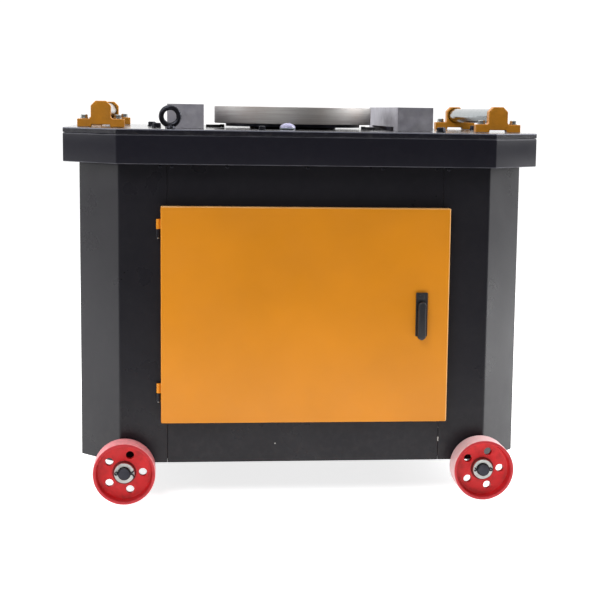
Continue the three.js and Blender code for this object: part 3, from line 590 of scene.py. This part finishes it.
def refine(node, slot, width=0.0012, segments=2):
    """Shows a CAD node with its own material, flat faces merged and edges rounded."""
    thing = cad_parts[node]
    mesh = thing.data
    for layer in ("custom_normal", "sharp_face", "sharp_edge"):
        if layer in mesh.attributes:
            mesh.attributes.remove(mesh.attributes[layer])
    mesh.materials.clear()
    mesh.materials.append(MATERIALS[slot])
    mesh.shade_smooth()
    weld = thing.modifiers.new("weld", "WELD")
    weld.merge_threshold = 1e-5
    merge = thing.modifiers.new("merge", "DECIMATE")
    merge.decimate_type = "DISSOLVE"
    merge.angle_limit = radians(1)
    soften(thing, width, segments, 25)


def hex_bolt(bm, place, axis, across, height, washer=0.0, spin=0.0, sign=1):
    """A hexagon head with a chamfered crown, on a round washer, standing along the axis."""
    a, b, along = INDICES[axis]
    centre, foot = (place[a], place[b]), place[along]
    if washer:
        base, foot = foot, foot + sign * 0.0022
        turn(bm, drum(washer, base, foot), axis, centre, 28)
    radius = across / sqrt(3)
    crown = across * 0.46
    levels = [(radius, foot), (radius, foot + sign * height * 0.82), (crown, foot + sign * height)]
    turn(bm, [(0, foot), *levels, (0, foot + sign * height)], axis, centre, 6, spin)


def head(bm, place, axis, r, height, sign):
    """A domed screw head."""
    a, b, along = INDICES[axis]
    base = place[along] + sign * 0.0001
    levels = [(r, 0), (r * 0.96, height * 0.4), (r * 0.7, height * 0.85), (0, height)]
    profile = [(0, base), *[(reach, base + sign * level) for reach, level in levels]]
    turn(bm, profile, axis, (place[a], place[b]), 24)


MATERIALS = {}


# ---- places read from the frame ----
def extent(node):
    """A node's low corner, high corner and middle."""
    low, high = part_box(node)
    return low, high, (low + high) / 2


def middle(node):
    return extent(node)[2]


# ---- table and apron ----
# place and width across flats
TABLE_BOLTS = [
    (-0.302, -0.2165, 0.016),
    (-0.314, 0.0445, 0.016),
    (0.2845, -0.3125, 0.016),
    (0.458, 0.2265, 0.016),
    (-0.09, -0.3685, 0.012),
]


def make_table():
    refine("table_plate", "plate_paint", 0.0012, 3)
    make_apron()
    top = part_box("table_plate")[1].z
    bolts = bmesh.new()
    for i, (x, y, across) in enumerate(TABLE_BOLTS):
        hex_bolt(bolts, (x, y, top + 0.0002), "Z", across, across * 0.5, across * 0.62, 0.4 * i)
    soften(piece("table_bolts", bolts, "dark_steel"), 0.0004, 2)


def octagon(half_x, half_y, cut_x, cut_y, inset, bend):
    """The plan of the table's or the cabinet's edge, set in and with rounded corners."""
    x, y = half_x - inset, half_y - inset
    slope = hypot(cut_x, cut_y)
    trim_x = cut_x - inset * (cut_x + cut_y - slope) / cut_y
    trim_y = cut_y - inset * (cut_x + cut_y - slope) / cut_x
    front = [(x - trim_x, -y), (x, trim_y - y), (x, y - trim_y), (x - trim_x, y)]
    return rounded(mirrored(front), bend, 6)


def make_apron():
    """One folded skirt with a rounded shoulder under the table, slit where its lengths meet."""
    nodes = ["apron_front", "apron_rear", "apron_left", "apron_right"]
    front_low, front_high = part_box("apron_front")
    half_x, half_y = front_high.x, -front_low.y
    cut_x, cut_y = 0.111, half_y + front_high.y
    low, high, sheet, shoulder = front_low.z, front_high.z, 0.004, 0.0034
    bm = bmesh.new()
    levels = [(sheet, low), (sheet, high), (shoulder, high)]
    for a in arc(15, 90, 5):
        levels.append((shoulder * (1 - sin(a)), high - shoulder * (1 - cos(a))))
    levels += [(0.0, low + 0.0012), (0.0004, low + 0.0004), (0.0012, low)]
    rings = []
    for inset, z in levels:
        plan = octagon(half_x, half_y, cut_x, cut_y, inset, 0.006 - inset)
        rings.append(loop(bm, plan, "Z", z))
    ring_loft(bm, rings, closed=True)
    skirt = piece("apron_folded", bm, "table_paint", replaces=nodes)
    slits = bmesh.new()
    slit, past = half_y - cut_y - 0.0006, 0.01
    for x in (-half_x, half_x):
        for y in (-slit, slit):
            corner = (x - past, y - 0.0003, low - past)
            block(slits, corner, (x + past, y + 0.0003, high + past))
    carve(skirt, slits)


def make_stop_bar(side):
    node = f"stop_bar_{side}"
    low, high, centre = extent(node)
    foot, relief, radius, pitch = 0.176, 0.008, 0.015, 0.095
    half = [(foot, low.z + relief), (foot, low.z), (high.y, low.z), (high.y, high.z)]
    bm = prism(bmesh.new(), mirrored(half), "X", low.x, high.x)
    bar = piece(node + "_milled", bm, "milled_steel", replaces=[node])
    holes = bmesh.new()
    for i in range(-2, 3):
        prism(holes, circle(radius, (centre.x, i * pitch)), "Z", low.z - 0.01, high.z + 0.01)
    carve(bar, holes)
    soften(bar, 0.0009, 3)


def make_bearing_block(end, side):
    node = f"bearing_block_{end}_{side}"
    low, high, centre = extent(node)
    hump, recess, groove, chamfer, fillet = 0.0205, 0.005, 0.0185, 0.010, 0.003
    foot = low.z + 0.017
    half = [
        (groove, low.z + recess),
        (groove, low.z),
        (high.x - centre.x, low.z),
        (high.x - centre.x, foot),
        (hump + fillet, foot),
        (hump, foot + fillet),
        (hump, high.z - chamfer),
        (hump - chamfer, high.z),
    ]
    outline = [(centre.x + a, b) for a, b in mirrored(half)]
    bm = prism(bmesh.new(), outline, "Y", low.y, high.y)
    cast = piece(node + "_casting", bm, "ochre_paint", replaces=[node])
    mouth, inward = (high.y, 1) if end == "front" else (low.y, -1)
    pocket, depth = 0.0167, 0.0125
    ends = sorted((mouth - inward * depth, mouth + inward * 0.002))
    round_roller = circle(pocket, (centre.x, middle(f"roller_{side}").z), 64)
    carve(cast, prism(bmesh.new(), round_roller, "Y", *ends))
    soften(cast, 0.0016, 4)
    bolts = bmesh.new()
    for reach in (-0.034, 0.034):
        place = (centre.x + reach, centre.y, foot)
        hex_bolt(bolts, place, "Z", 0.013, 0.0065, 0.0085, 0.5 + reach * 20)
    soften(piece(node + "_bolts", bolts, "zinc_steel"), 0.0004, 2)


def make_round_bar(node, suffix, slot, r, chamfer, count, body=ROOT):
    low, high, centre = extent(node)
    profile = barrel(r or (high.z - low.z) / 2, low.y, high.y, chamfer)
    bm = turn(bmesh.new(), profile, "Y", (centre.x, centre.z), count)
    piece(node + suffix, bm, slot, body, [node])


def make_lifting_eye(end):
    node = f"lifting_eye_{end}"
    low, high, centre = extent(node)
    wire = 0.0051
    ring = (high.x - low.x) / 2 - wire
    ring_z = high.z - ring - wire
    bm = bmesh.new()
    loops = []
    for out, up in circle(1, count=72):
        swollen = wire * (1 + 0.10 * max(0.0, -up) ** 3)
        section = []
        for a, b in circle(swollen, (ring, 0), 20):
            place = (centre.x + a * out, centre.y + b, ring_z + a * up)
            section.append(bm.verts.new(place))
        loops.append(section)
    ring_loft(bm, loops, closed=True)
    collar = [
        (0, 0),
        (0.0100, 0),
        (0.0100, 0.0045),
        (0.0088, 0.0058),
        (0.0066, 0.0068),
        (0.0052, 0.0082),
        (0, 0.0088),
    ]
    profile = [(r, low.z + height) for r, height in collar]
    turn(bm, profile, "Z", (centre.x, centre.y), 40)
    piece(node + "_forged", bm, "dark_steel", replaces=[node], smooth=50)


def make_lamp():
    low, high, centre = extent("indicator_lamp")
    r, base = (high.x - low.x) / 2, low.z
    place = (centre.x, centre.y)
    bezel = [
        (0, base),
        (r, base),
        (r, base + 0.0022),
        (r - 0.0006, base + 0.0028),
        (0, base + 0.0028),
    ]
    piece("lamp_bezel", turn(bmesh.new(), bezel, "Z", place, 64), "chrome")
    dome, sill = r - 0.0008, base + 0.0032
    rise = high.z - sill
    curve = [(dome * cos(a), sill + rise * sin(a)) for a in arc(0, 80, 8)]
    lens = turn(bmesh.new(), [(0, sill), *curve, (0, high.z)], "Z", place, 64)
    piece("lamp_lens", lens, "lamp_lens", replaces=["indicator_lamp"])


# ---- cabinet ----
SHELL_CUT = (0.082, 0.095)
BEND = 0.007
SHEET = 0.0025


def shell_outline(side, inset):
    """The plan of one side shell, from the front seam round its bent corners to the rear."""
    low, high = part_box(f"side_shell_{side}")
    seam, wide = sorted((abs(low.x), abs(high.x)))
    plan = octagon(wide, high.y, *SHELL_CUT, inset, BEND - inset)
    bends = plan[: len(plan) // 2]
    sign = 1 if side == "right" else -1
    return [(sign * x, y) for x, y in [(seam, inset - high.y), *bends, (seam, high.y - inset)]]


def make_side_shell(side):
    node = f"side_shell_{side}"
    low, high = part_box(node)
    strip = shell_outline(side, 0.0) + shell_outline(side, SHEET)[::-1]
    bm = prism(bmesh.new(), strip, "Z", low.z, high.z)
    shell = piece(node + "_folded", bm, "black_paint", replaces=[node])
    axle_low, axle_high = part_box(f"axle_{side}")
    slot = bmesh.new()
    spare = 0.001
    edge = (axle_low.x - spare, low.y - SHEET, low.z - SHEET)
    block(slot, edge, (axle_high.x + spare, high.y + SHEET, axle_high.z + spare * 0.3))
    carve(shell, slot)
    if side == "right":
        hole = middle("emergency_stop")
        carve(shell, prism(bmesh.new(), circle(0.0118, (hole.y, hole.z)), "X", 0.44, 0.47))
    soften(shell, 0.0009, 2, 40)


def make_front():
    refine("front_panel", "black_paint", 0.0009, 2)
    half, bottom, top = 0.2652, 0.1718, 0.5822
    back, deep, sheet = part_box("front_panel")[1].y + 0.0002, 0.012, 0.0015
    outer = rectangle(-half - sheet, half + sheet, bottom - sheet, top + sheet)
    inner = rectangle(-half, half, bottom, top)
    flange = hollow_prism(bmesh.new(), outer, inner, "Y", back, back + deep)
    piece("doorway_flange", flange, "black_paint")
    screw_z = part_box("apron_front")[0].z - 0.005
    places = [(x, screw_z, 0.0036) for x in (-0.27, -0.16, 0.002, 0.155, 0.265)]
    front_heads("front_panel_screws", "dark_steel", 0.0022, places)
    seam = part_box("side_shell_right")[0].x
    places = [(-0.060, 0.1095, 0.0016), (seam, 0.1185, 0.0018)]
    places += [(seam, 0.1155, 0.0018), (seam, 0.1125, 0.0016)]
    front_heads("front_panel_weld_spots", "zinc_steel", 0.0009, places)
    places = [(x, screw_z, 0.0036) for x in (-0.294, 0.29)]
    front_heads("side_shell_screws", "dark_steel", 0.0022, places)


def front_heads(name, slot, height, places):
    """Round heads on the front of the cabinet, each from (x, z, radius)."""
    bm = bmesh.new()
    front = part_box("front_panel")[0].y
    for x, z, r in places:
        head(bm, (x, front, z), "Y", r, height, -1)
    piece(name, bm, slot)


def quarter(y, z, deep, tall):
    """A quarter of an ellipse about (y, z), from its top to its outer side."""
    return [(y + deep * sin(a), z + tall * cos(a)) for a in arc(0, 90, 8)]


def make_rear():
    refine("rear_panel", "black_paint", 0.0008, 2)
    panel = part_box("rear_panel")[1].y
    rows, pitch, slot, half, first = 7, 0.026, 0.008, 0.065, 0.150
    face, sheet = panel + 0.0002, 0.0012
    hoods = bmesh.new()
    for x in (-0.150, 0.0):
        for row in range(rows):
            z = first + row * pitch + slot
            outer = quarter(face, z, 0.0085, 0.009)
            inner = quarter(face, z, 0.0072, 0.0077)[::-1]
            prism(hoods, outer + inner, "X", x - half, x + half)
            wall, foot = face + 0.0001, z + 0.0001
            cheek = [(wall, foot), *quarter(wall, foot, 0.0078, 0.0083)]
            for edge in (x - half + 0.0002, x + half - 0.0002 - sheet):
                prism(hoods, cheek, "X", edge, edge + sheet)
    piece("louvre_hoods", hoods, "black_paint")
    gland_low, gland_high, centre = extent("cable_gland")
    place, face = (centre.x, centre.z), panel + 0.0003
    gland = bmesh.new()
    turn(gland, drum(0.016, gland_low.y, face), "Y", place, 48)
    turn(gland, drum(0.0242, face, face + 0.010), "Y", place, 6)
    cap = [
        (0, face + 0.010),
        (0.0165, face + 0.010),
        (0.0165, face + 0.019),
        (0.0140, face + 0.0245),
        (0.0098, gland_high.y - 0.0005),
        (0.0075, gland_high.y - 0.0005),
        (0.0070, face + 0.018),
        (0, face + 0.018),
    ]
    turn(gland, cap, "Y", place, 48)
    soften(piece("cable_gland_moulded", gland, "black_plastic", replaces=["cable_gland"]), 0.0005, 2)


def make_underside():
    for node in ("floor_pan", "chassis_rail_left", "chassis_rail_right"):
        refine(node, "black_paint")


# ---- door, hinges and lock ----
HINGE = (-0.298, -0.395)
HINGE_R = 0.004


def make_door():
    low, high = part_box("door")
    left, front, back = -0.293, low.y, high.y
    bm = bmesh.new()
    outline = rectangle(left, high.x, low.z, high.z)
    loops = [loop(bm, outline, "Y", y) for y in (back, front)]
    bm.faces.new(loops[1])
    ring_loft(bm, loops, closed=False)
    folds = [edge for edge in bm.edges if len(edge.link_faces) == 2]
    bmesh.ops.bevel(bm, geom=folds, offset=0.0028, segments=5, profile=0.5, affect="EDGES")
    pan = piece("door_pan", bm, "orange_paint", "door", ["door"])
    solid = pan.modifiers.new("sheet", "SOLIDIFY")
    solid.thickness = 0.0018
    solid.offset = -1
    solid.use_even_offset = True
    barrels = bmesh.new()
    x, y = HINGE
    for z in (0.228, 0.561):
        turn(barrels, barrel(HINGE_R, z - 0.010, z + 0.010, HINGE_R * 0.15), "Z", HINGE, 40)
        corner = (x + 0.0015, y - 0.0018, z - 0.0098)
        block(barrels, corner, (left + 0.0012, y + 0.0018, z + 0.0098))
    piece("door_hinge_barrels", barrels, "orange_paint", "door")
    sheet, foot, crest = 0.0016, front + 0.0022, front + 0.014
    half = [(0.022, crest), (0.03, foot), (0.05, foot), (0.05, foot + sheet)]
    half += [(0.0312, foot + sheet), (0.0232, crest + sheet)]
    rib = prism(bmesh.new(), mirrored(half), "Z", low.z + 0.03, high.z - 0.03)
    piece("door_stiffener", rib, "orange_paint", "door")
    lips = []
    for inset in (0.0105, 0.0195):
        sides = (left + inset, high.x - inset, low.z + inset, high.z - inset)
        lips.append(rectangle(*sides))
    seal = hollow_prism(bmesh.new(), *lips, "Y", back - 0.010, back + 0.0002)
    soften(piece("door_seal", seal, "belt_rubber", "door"), 0.002, 3)


def make_hinges():
    x, y = HINGE
    for name in ("hinge_knuckle_low", "hinge_knuckle_high"):
        low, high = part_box(name)
        profile = barrel(HINGE_R, low.z, high.z, HINGE_R * 0.15)
        bm = turn(bmesh.new(), profile, "Z", HINGE, 40)
        block(bm, (x - HINGE_R, y, low.z + 0.0003), (x - 0.001, high.y, high.z - 0.0003))
        piece(name + "_rolled", bm, "black_paint", replaces=[name])
        pin = barrel(0.0022, low.z - 0.002, low.z - 0.0001, 0.00033)
        piece(name + "_pin", turn(bmesh.new(), pin, "Z", HINGE, 24), "zinc_steel")


def capsule(x, low, high, half, steps=14):
    """An upright outline with round ends, in (x, z)."""
    top = [(x + half * cos(a), high - half + half * sin(a)) for a in arc(0, 180, steps)]
    foot = [(x + half * cos(a), low + half + half * sin(a)) for a in arc(180, 360, steps)]
    return top + foot


def make_lock():
    low, high, centre = extent("lock_plate")
    x, front = centre.x, low.y
    outline = rounded(rectangle(low.x, high.x, low.z, high.z), 0.0016, 4)
    bm = prism(bmesh.new(), outline, "Y", front, high.y)
    plate = piece("lock_plate_moulded", bm, "black_plastic", "door", ["lock_plate"])
    rebate = capsule(x, low.z - 0.02, 0.4085, 0.0100)
    carve(plate, prism(bmesh.new(), rebate, "Y", front - 0.001, front + 0.0012))
    soften(plate, 0.0009, 3)
    cover = [(0, 0), (0.0058, 0), (0.0058, 0.0006), (0.0050, 0.0012), (0, 0.0013)]
    profile = [(r, front - proud) for r, proud in cover]
    bm = turn(bmesh.new(), profile, "Y", (x, 0.4165), 40)
    piece("lock_key_cover", bm, "black_plastic", "door")
    refine("lock_spindle", "dark_steel", 0.0004, 2)
    low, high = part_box("lock_lever")
    half, back = (high.x - low.x) / 2, high.y
    levels = [(0.0030, 0.0), (0.0014, 0.0006), (0.0004, 0.0018), (0.0, 0.0036)]
    bm = bmesh.new()
    loops = []
    for y, inset in [(back, 0.0), *[(low.y + deep, inset) for deep, inset in levels]]:
        outline = capsule(x, low.z + inset, high.z - inset, half - inset)
        loops.append(loop(bm, outline, "Y", y))
    capped_loft(bm, loops)
    lever = piece("lock_lever_moulded", bm, "black_plastic", "lock_lever", ["lock_lever"], 38)
    relief, past = 0.0045, 0.001
    corner = (low.x - past, back - relief, middle("lock_spindle").z - 0.010)
    carve(lever, block(bmesh.new(), corner, high + Vector((past, past, past))), 38)


# ---- bending disc ----
def make_disc():
    low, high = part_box("working_disc")
    # a small round on both rims, with a ring of support on each side of it
    round_r, support = 0.0013, 0.0006
    r, z = high.x - round_r, high.z - round_r
    upper = [(r + round_r * sin(a), z + round_r * cos(a)) for a in arc(0, 90, 4)]
    upper = [(r - support, high.z), *upper, (high.x, z - support)]
    lower = [(a, low.z + high.z - z) for a, z in reversed(upper)]
    profile = [(0, high.z), *upper, *lower, (0, low.z)]
    rim = turn(bmesh.new(), profile, "Z", (0, 0), 192)
    disc = piece("working_disc_turned", rim, "turned_steel", "disc", ["working_disc"])
    holes = bmesh.new()
    floor = high.z - 0.030
    prism(holes, circle(0.027, count=64), "Z", floor, high.z + 0.01)
    for place in circle(0.115, count=8, phase=pi / 8):
        prism(holes, circle(0.017, place), "Z", floor, high.z + 0.01)
    carve(disc, holes)
    soften(disc, 0.0011, 3, 60)
    low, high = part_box("angle_ring")
    ring = turn(bmesh.new(), drum(0.150, low.z, high.z, 0.104), "Z", (0, 0), 144)
    block(ring, (-0.012, 0.1445, low.z), (0.012, high.y, high.z))
    soften(piece("angle_ring_turned", ring, "dark_steel", "disc", ["angle_ring"]), 0.0004, 2)
    low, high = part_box("main_bearing")
    inner, body, flange = 0.0412, 0.075, 0.096
    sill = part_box("table_plate")[1].z + 0.0003
    profile = [(inner, low.z), (body, low.z), (body, sill), (flange, sill)]
    profile += [(flange, high.z), (inner, high.z)]
    bearing = turn(bmesh.new(), profile, "Z", (0, 0), 112)
    soften(piece("main_bearing_cast", bearing, "cast_iron", replaces=["main_bearing"]), 0.0007, 2)
    refine("main_shaft", "dark_steel", 0.0008, 2)
    refine("worm_wheel", "cast_iron", 0.0003, 1)


# ---- gearbox, belts and motor ----
def make_gearbox():
    for node in ("worm", "change_gear", "input_shaft"):
        refine(node, "dark_steel", 0.0003, 1)
    refine("input_bracket", "cast_iron", 0.002, 3)
    refine("gearbox_housing", "grey_paint", 0.003, 3)
    refine("gearbox_cover", "grey_paint", 0.0015, 2)
    for node in ("gearbox_beam_left", "gearbox_beam_right"):
        refine(node, "grey_paint")
    low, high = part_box("gearbox_housing")
    worm = middle("worm")
    caps = bmesh.new()
    bolts = bmesh.new()
    for face, sign in ((low.y, -1), (high.y, 1)):
        base = face + sign * 0.0003
        reach = base + sign * 0.009
        profile = [(0.0155, base), (0.034, base), (0.034, reach)]
        profile += [(0.020, reach + sign * 0.002), (0.0155, reach)]
        turn(caps, profile, "Y", (worm.x, worm.z), 64)
        for i, (x, z) in enumerate(circle(0.0275, (worm.x, worm.z), 6, 0.2)):
            hex_bolt(bolts, (x, reach, z), "Y", 0.008, 0.004, 0.0, 0.3 * i, sign)
    soften(piece("worm_bearing_caps", caps, "cast_iron"), 0.001, 3)
    piece("worm_cap_bolts", bolts, "zinc_steel")
    cover_low, cover_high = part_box("gearbox_cover")
    under = bmesh.new()
    for x in (cover_low.x + 0.012, cover_high.x - 0.012):
        for y in (-0.12, -0.04, 0.04, 0.12):
            hex_bolt(under, (x, y, cover_low.z - 0.0002), "Z", 0.013, 0.007, 0.010, y * 9, -1)
    piece("gearbox_cover_bolts", under, "zinc_steel")
    x, y = 0.04, low.y - 0.0003
    glass = [(0, y), (0.016, y), (0.016, y - 0.006), (0.011, y - 0.008), (0, y - 0.006)]
    piece("oil_sight_glass", turn(bmesh.new(), glass, "Y", (x, 0.548), 48), "chrome")
    plug = bmesh.new()
    hex_bolt(plug, (x, y, 0.522), "Y", 0.019, 0.008, 0.013, 0.0, -1)
    piece("oil_drain_plug", plug, "zinc_steel")


GROOVES = (-0.0085, 0.0085)


def make_pulley(node, body, bore, webbed):
    low, high, centre = extent(node)
    r, y, web = (high.z - low.z) / 2, centre.y, 0.008
    hub, rim = bore + 0.012, r - 0.016
    deep, top, foot = 0.0125, 0.0072, 0.0042
    profile = [(bore, low.y), (hub, low.y)]
    if webbed:
        profile += [(hub, y - web), (rim, y - web), (rim, low.y)]
    profile.append((r, low.y))
    for groove in GROOVES:
        profile += [(r, y + groove - top), (r - deep, y + groove - foot)]
        profile += [(r - deep, y + groove + foot), (r, y + groove + top)]
    profile.append((r, high.y))
    if webbed:
        profile += [(rim, high.y), (rim, y + web), (hub, y + web)]
    profile += [(hub, high.y), (bore, high.y)]
    wheel = turn(bmesh.new(), profile, "Y", (centre.x, centre.z), 112)
    soften(piece(node + "_cast", wheel, "cast_iron", body, [node]), 0.0006, 2)


def belt_line(x, top, top_r, foot, foot_r):
    """The loop round two pulleys at heights top and foot, in (x, z)."""
    lean = degrees(asin((top_r - foot_r) / (top - foot)))
    upper = [(top, top_r, a) for a in arc(-lean, 180 + lean, 48)]
    lower = [(foot, foot_r, a) for a in arc(180 + lean, 360 - lean, 48)]
    return [(x + r * cos(a), z + r * sin(a)) for z, r, a in upper + lower]


def make_belts():
    upper, lower = middle("input_pulley"), middle("motor_pulley")
    upper_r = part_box("input_pulley")[1].z - upper.z
    lower_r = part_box("motor_pulley")[1].z - lower.z
    section = [(-0.0090, 0.0036), (0.0, 0.0066), (0.0, -0.0066), (-0.0090, -0.0036)]
    bm = bmesh.new()
    for groove in GROOVES:
        loops = []
        for sink, half in section:
            line = belt_line(upper.x, upper.z, upper_r + sink, lower.z, lower_r + sink)
            loops.append(loop(bm, line, "Y", upper.y + groove + half))
        ring_loft(bm, loops, closed=True)
    piece("drive_belts", bm, "belt_rubber", replaces=["drive_belt"])


def make_motor():
    refine("motor_body", "grey_paint", 0.0008, 2)
    refine("motor_shaft", "dark_steel", 0.0006, 2)
    refine("motor_base", "black_paint")
    refine("terminal_box", "black_plastic", 0.002, 3)
    refine("electrical_box", "grey_paint", 0.0015, 3)
    low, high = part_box("motor_body")
    x, z = middle("motor_shaft").x, middle("motor_shaft").z
    grille = bmesh.new()
    y = high.y + 0.0003
    for r in (0.018, 0.030, 0.042, 0.054, 0.066, 0.078):
        turn(grille, drum(r + 0.003, y, y + 0.002, r), "Y", (x, z), 72)
    for out, up in circle(1, count=8):
        spoke = rectangle(0.010, 0.081, -0.0015, 0.0015)
        outline = [(x + a * out - b * up, z + a * up + b * out) for a, b in spoke]
        prism(grille, outline, "Y", y, y + 0.0015)
    piece("fan_grille", grille, "black_paint")
    cap = [(0.0145, 0.0003), (0.078, 0.0003), (0.076, 0.010)]
    cap += [(0.040, 0.014), (0.030, 0.018), (0.0145, 0.018)]
    shield = turn(bmesh.new(), [(r, low.y - proud) for r, proud in cap], "Y", (x, z), 96)
    soften(piece("motor_end_shield", shield, "grey_paint"), 0.001, 3)
    lid = bmesh.new()
    box_low, box_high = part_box("terminal_box")
    for a in (box_low.x + 0.008, box_high.x - 0.008):
        for b in (box_low.y + 0.008, box_high.y - 0.008):
            head(lid, (a, b, box_high.z), "Z", 0.0032, 0.002, 1)
    piece("terminal_box_screws", lid, "zinc_steel")
    low, high, centre = extent("electrical_box")
    inset = 0.006
    edge = rectangle(low.x + inset, high.x - inset, low.z + inset, high.z - inset)
    door = prism(bmesh.new(), rounded(edge, 0.004, 4), "Y", low.y - 0.0035, low.y - 0.0003)
    soften(piece("electrical_box_lid", door, "grey_paint"), 0.001, 2)
    latch = bmesh.new()
    head(latch, (low.x + 0.020, low.y - 0.0036, centre.z), "Y", 0.009, 0.003, -1)
    piece("electrical_box_latch", latch, "black_plastic")


def make_stop_button():
    node = "emergency_stop"
    low, high, centre = extent(node)
    r, wall = (high.z - low.z) / 2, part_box("side_shell_right")[1].x
    place, rise = (centre.y, centre.z), 0.011
    dome = [(r * sin(a), high.x - rise * (1 - cos(a))) for a in arc(86, 0, 10)]
    dome[-1] = (0, high.x)
    profile = [(0, low.x), (0.0105, low.x), (0.0105, wall + 0.012), (r - 0.004, wall + 0.012)]
    profile += [(r - 0.0006, wall + 0.0142), *dome]
    button = turn(bmesh.new(), profile, "X", place, 72)
    piece(node + "_moulded", button, "red_plastic", "stop_button", [node])
    collar = [(0.0116, 0.0003), (0.024, 0.0003), (0.024, 0.002), (0.018, 0.0055), (0.0116, 0.0055)]
    ring = turn(bmesh.new(), [(r, wall + proud) for r, proud in collar], "X", place, 64)
    piece(node + "_collar", ring, "ochre_paint")


# ---- running gear ----
def make_wheel(end, side):
    node = f"wheel_{end}_{side}"
    low, high, centre = extent(node)
    r, half = 0.0625, (high.y - low.y) / 2
    bore, hub, hub_half, lip, web = 0.0132, 0.0222, 0.0140, 0.0558, 0.0070
    quarter = [
        (bore, hub_half),
        (hub - 0.001, hub_half),
        (hub, hub_half - 0.001),
        (hub + 0.0002, web + 0.0016),
        (hub + 0.0008, web + 0.0004),
        (hub + 0.0018, web),
        (lip - 0.0058, web),
        (lip - 0.0022, web + 0.0014),
        (lip - 0.0008, web + 0.0050),
        (lip + 0.0004, half - 0.0010),
        (lip + 0.0014, half),
        (r - 0.0018, half),
        (r - 0.0004, half - 0.0008),
        (r, half - 0.0028),
    ]
    profile = [(a, centre.y + b) for a, b in quarter]
    profile += [(a, centre.y - b) for a, b in reversed(quarter)]
    place = (centre.x, centre.z)
    bm = turn(bmesh.new(), profile, "Y", place, 120)
    casting = piece(node + "_cast", bm, "red_paint", node, [node], smooth=28)
    holes = bmesh.new()
    for spot in circle(0.037, place, 5):
        prism(holes, circle(0.0082, spot, 40), "Y", centre.y - half, centre.y + half)
    carve(casting, holes, smooth=34)
    soften(casting, 0.0009, 3, 50)
    sign = -1 if end == "front" else 1
    face = centre.y + sign * hub_half
    near, far = face + sign * 0.0004, face + sign * 0.0034
    washer = turn(bmesh.new(), drum(0.0205, near, far, 0.0131), "Y", place, 72)
    soften(piece(node + "_washer", washer, "zinc_steel"), 0.0005, 2)
    way, spread = (1, 1.0) if side == "left" else (-1, 0.2)
    make_split_pin(node, place, far + sign * 0.0030, way, spread)


def tube(bm, points, r):
    """A round rod along a chain of points, with closed ends."""
    loops = []
    side = (points[1] - points[0]).orthogonal()
    for i, point in enumerate(points):
        ahead = (points[min(i + 1, len(points) - 1)] - points[max(i - 1, 0)]).normalized()
        side = (side - ahead * side.dot(ahead)).normalized()
        other = ahead.cross(side)
        section = circle(r, count=10)
        loops.append([bm.verts.new(point + side * a + other * b) for a, b in section])
    capped_loft(bm, loops)


def make_split_pin(node, place, y, way, spread):
    """A split pin through the axle's end: an eye on one side, two bent legs on the other."""
    bm = bmesh.new()
    x, z = place
    reach, wire, eye, curl = 0.0128, 0.0013, 0.0027, 0.0062
    for half, bend in ((-1, 1.0), (1, 0.45)):
        points = []
        for a in arc(180, 30, 12):
            along = -reach - eye * 1.25 + eye * cos(a)
            points.append(Vector((x + way * along, y, z + half * eye * sin(a))))
        points.append(Vector((x - way * reach, y, z + half * wire)))
        points.append(Vector((x + way * reach, y, z + half * wire)))
        for a in arc(8, 70 * spread * bend + 16, 8):
            along, away = reach + curl * sin(a), wire + curl * (1 - cos(a))
            points.append(Vector((x + way * along, y, z + half * away)))
        tip = (points[-1] - points[-2]).normalized() * 0.0026
        points.append(points[-1] + tip)
        tube(bm, points, wire * 0.9)
    piece(node + "_split_pin", bm, "dark_steel", smooth=60)


def main():
    make_camera()
    MATERIALS.update(make_materials())
    make_studio()
    make_table()
    make_lamp()
    for side in ("left", "right"):
        make_stop_bar(side)
        roller, axle = f"roller_{side}", f"axle_{side}"
        make_round_bar(roller, "_plated", "chrome", None, 0.0015, 96, roller)
        make_side_shell(side)
        make_round_bar(axle, "_turned", "dark_steel", 0.0125, 0.0014, 72)
        refine(f"limit_switch_{side}", "black_plastic", 0.0006, 2)
        for end in ("front", "rear"):
            make_bearing_block(end, side)
            make_wheel(end, side)
    for end in ("front", "rear"):
        make_lifting_eye(end)
    make_front()
    make_rear()
    make_underside()
    make_door()
    make_hinges()
    make_lock()
    make_disc()
    make_gearbox()
    make_pulley("input_pulley", "input", 0.0153, webbed=True)
    make_pulley("motor_pulley", "motor_rotor", 0.0123, webbed=False)
    make_belts()
    make_motor()
    make_stop_button()


main()
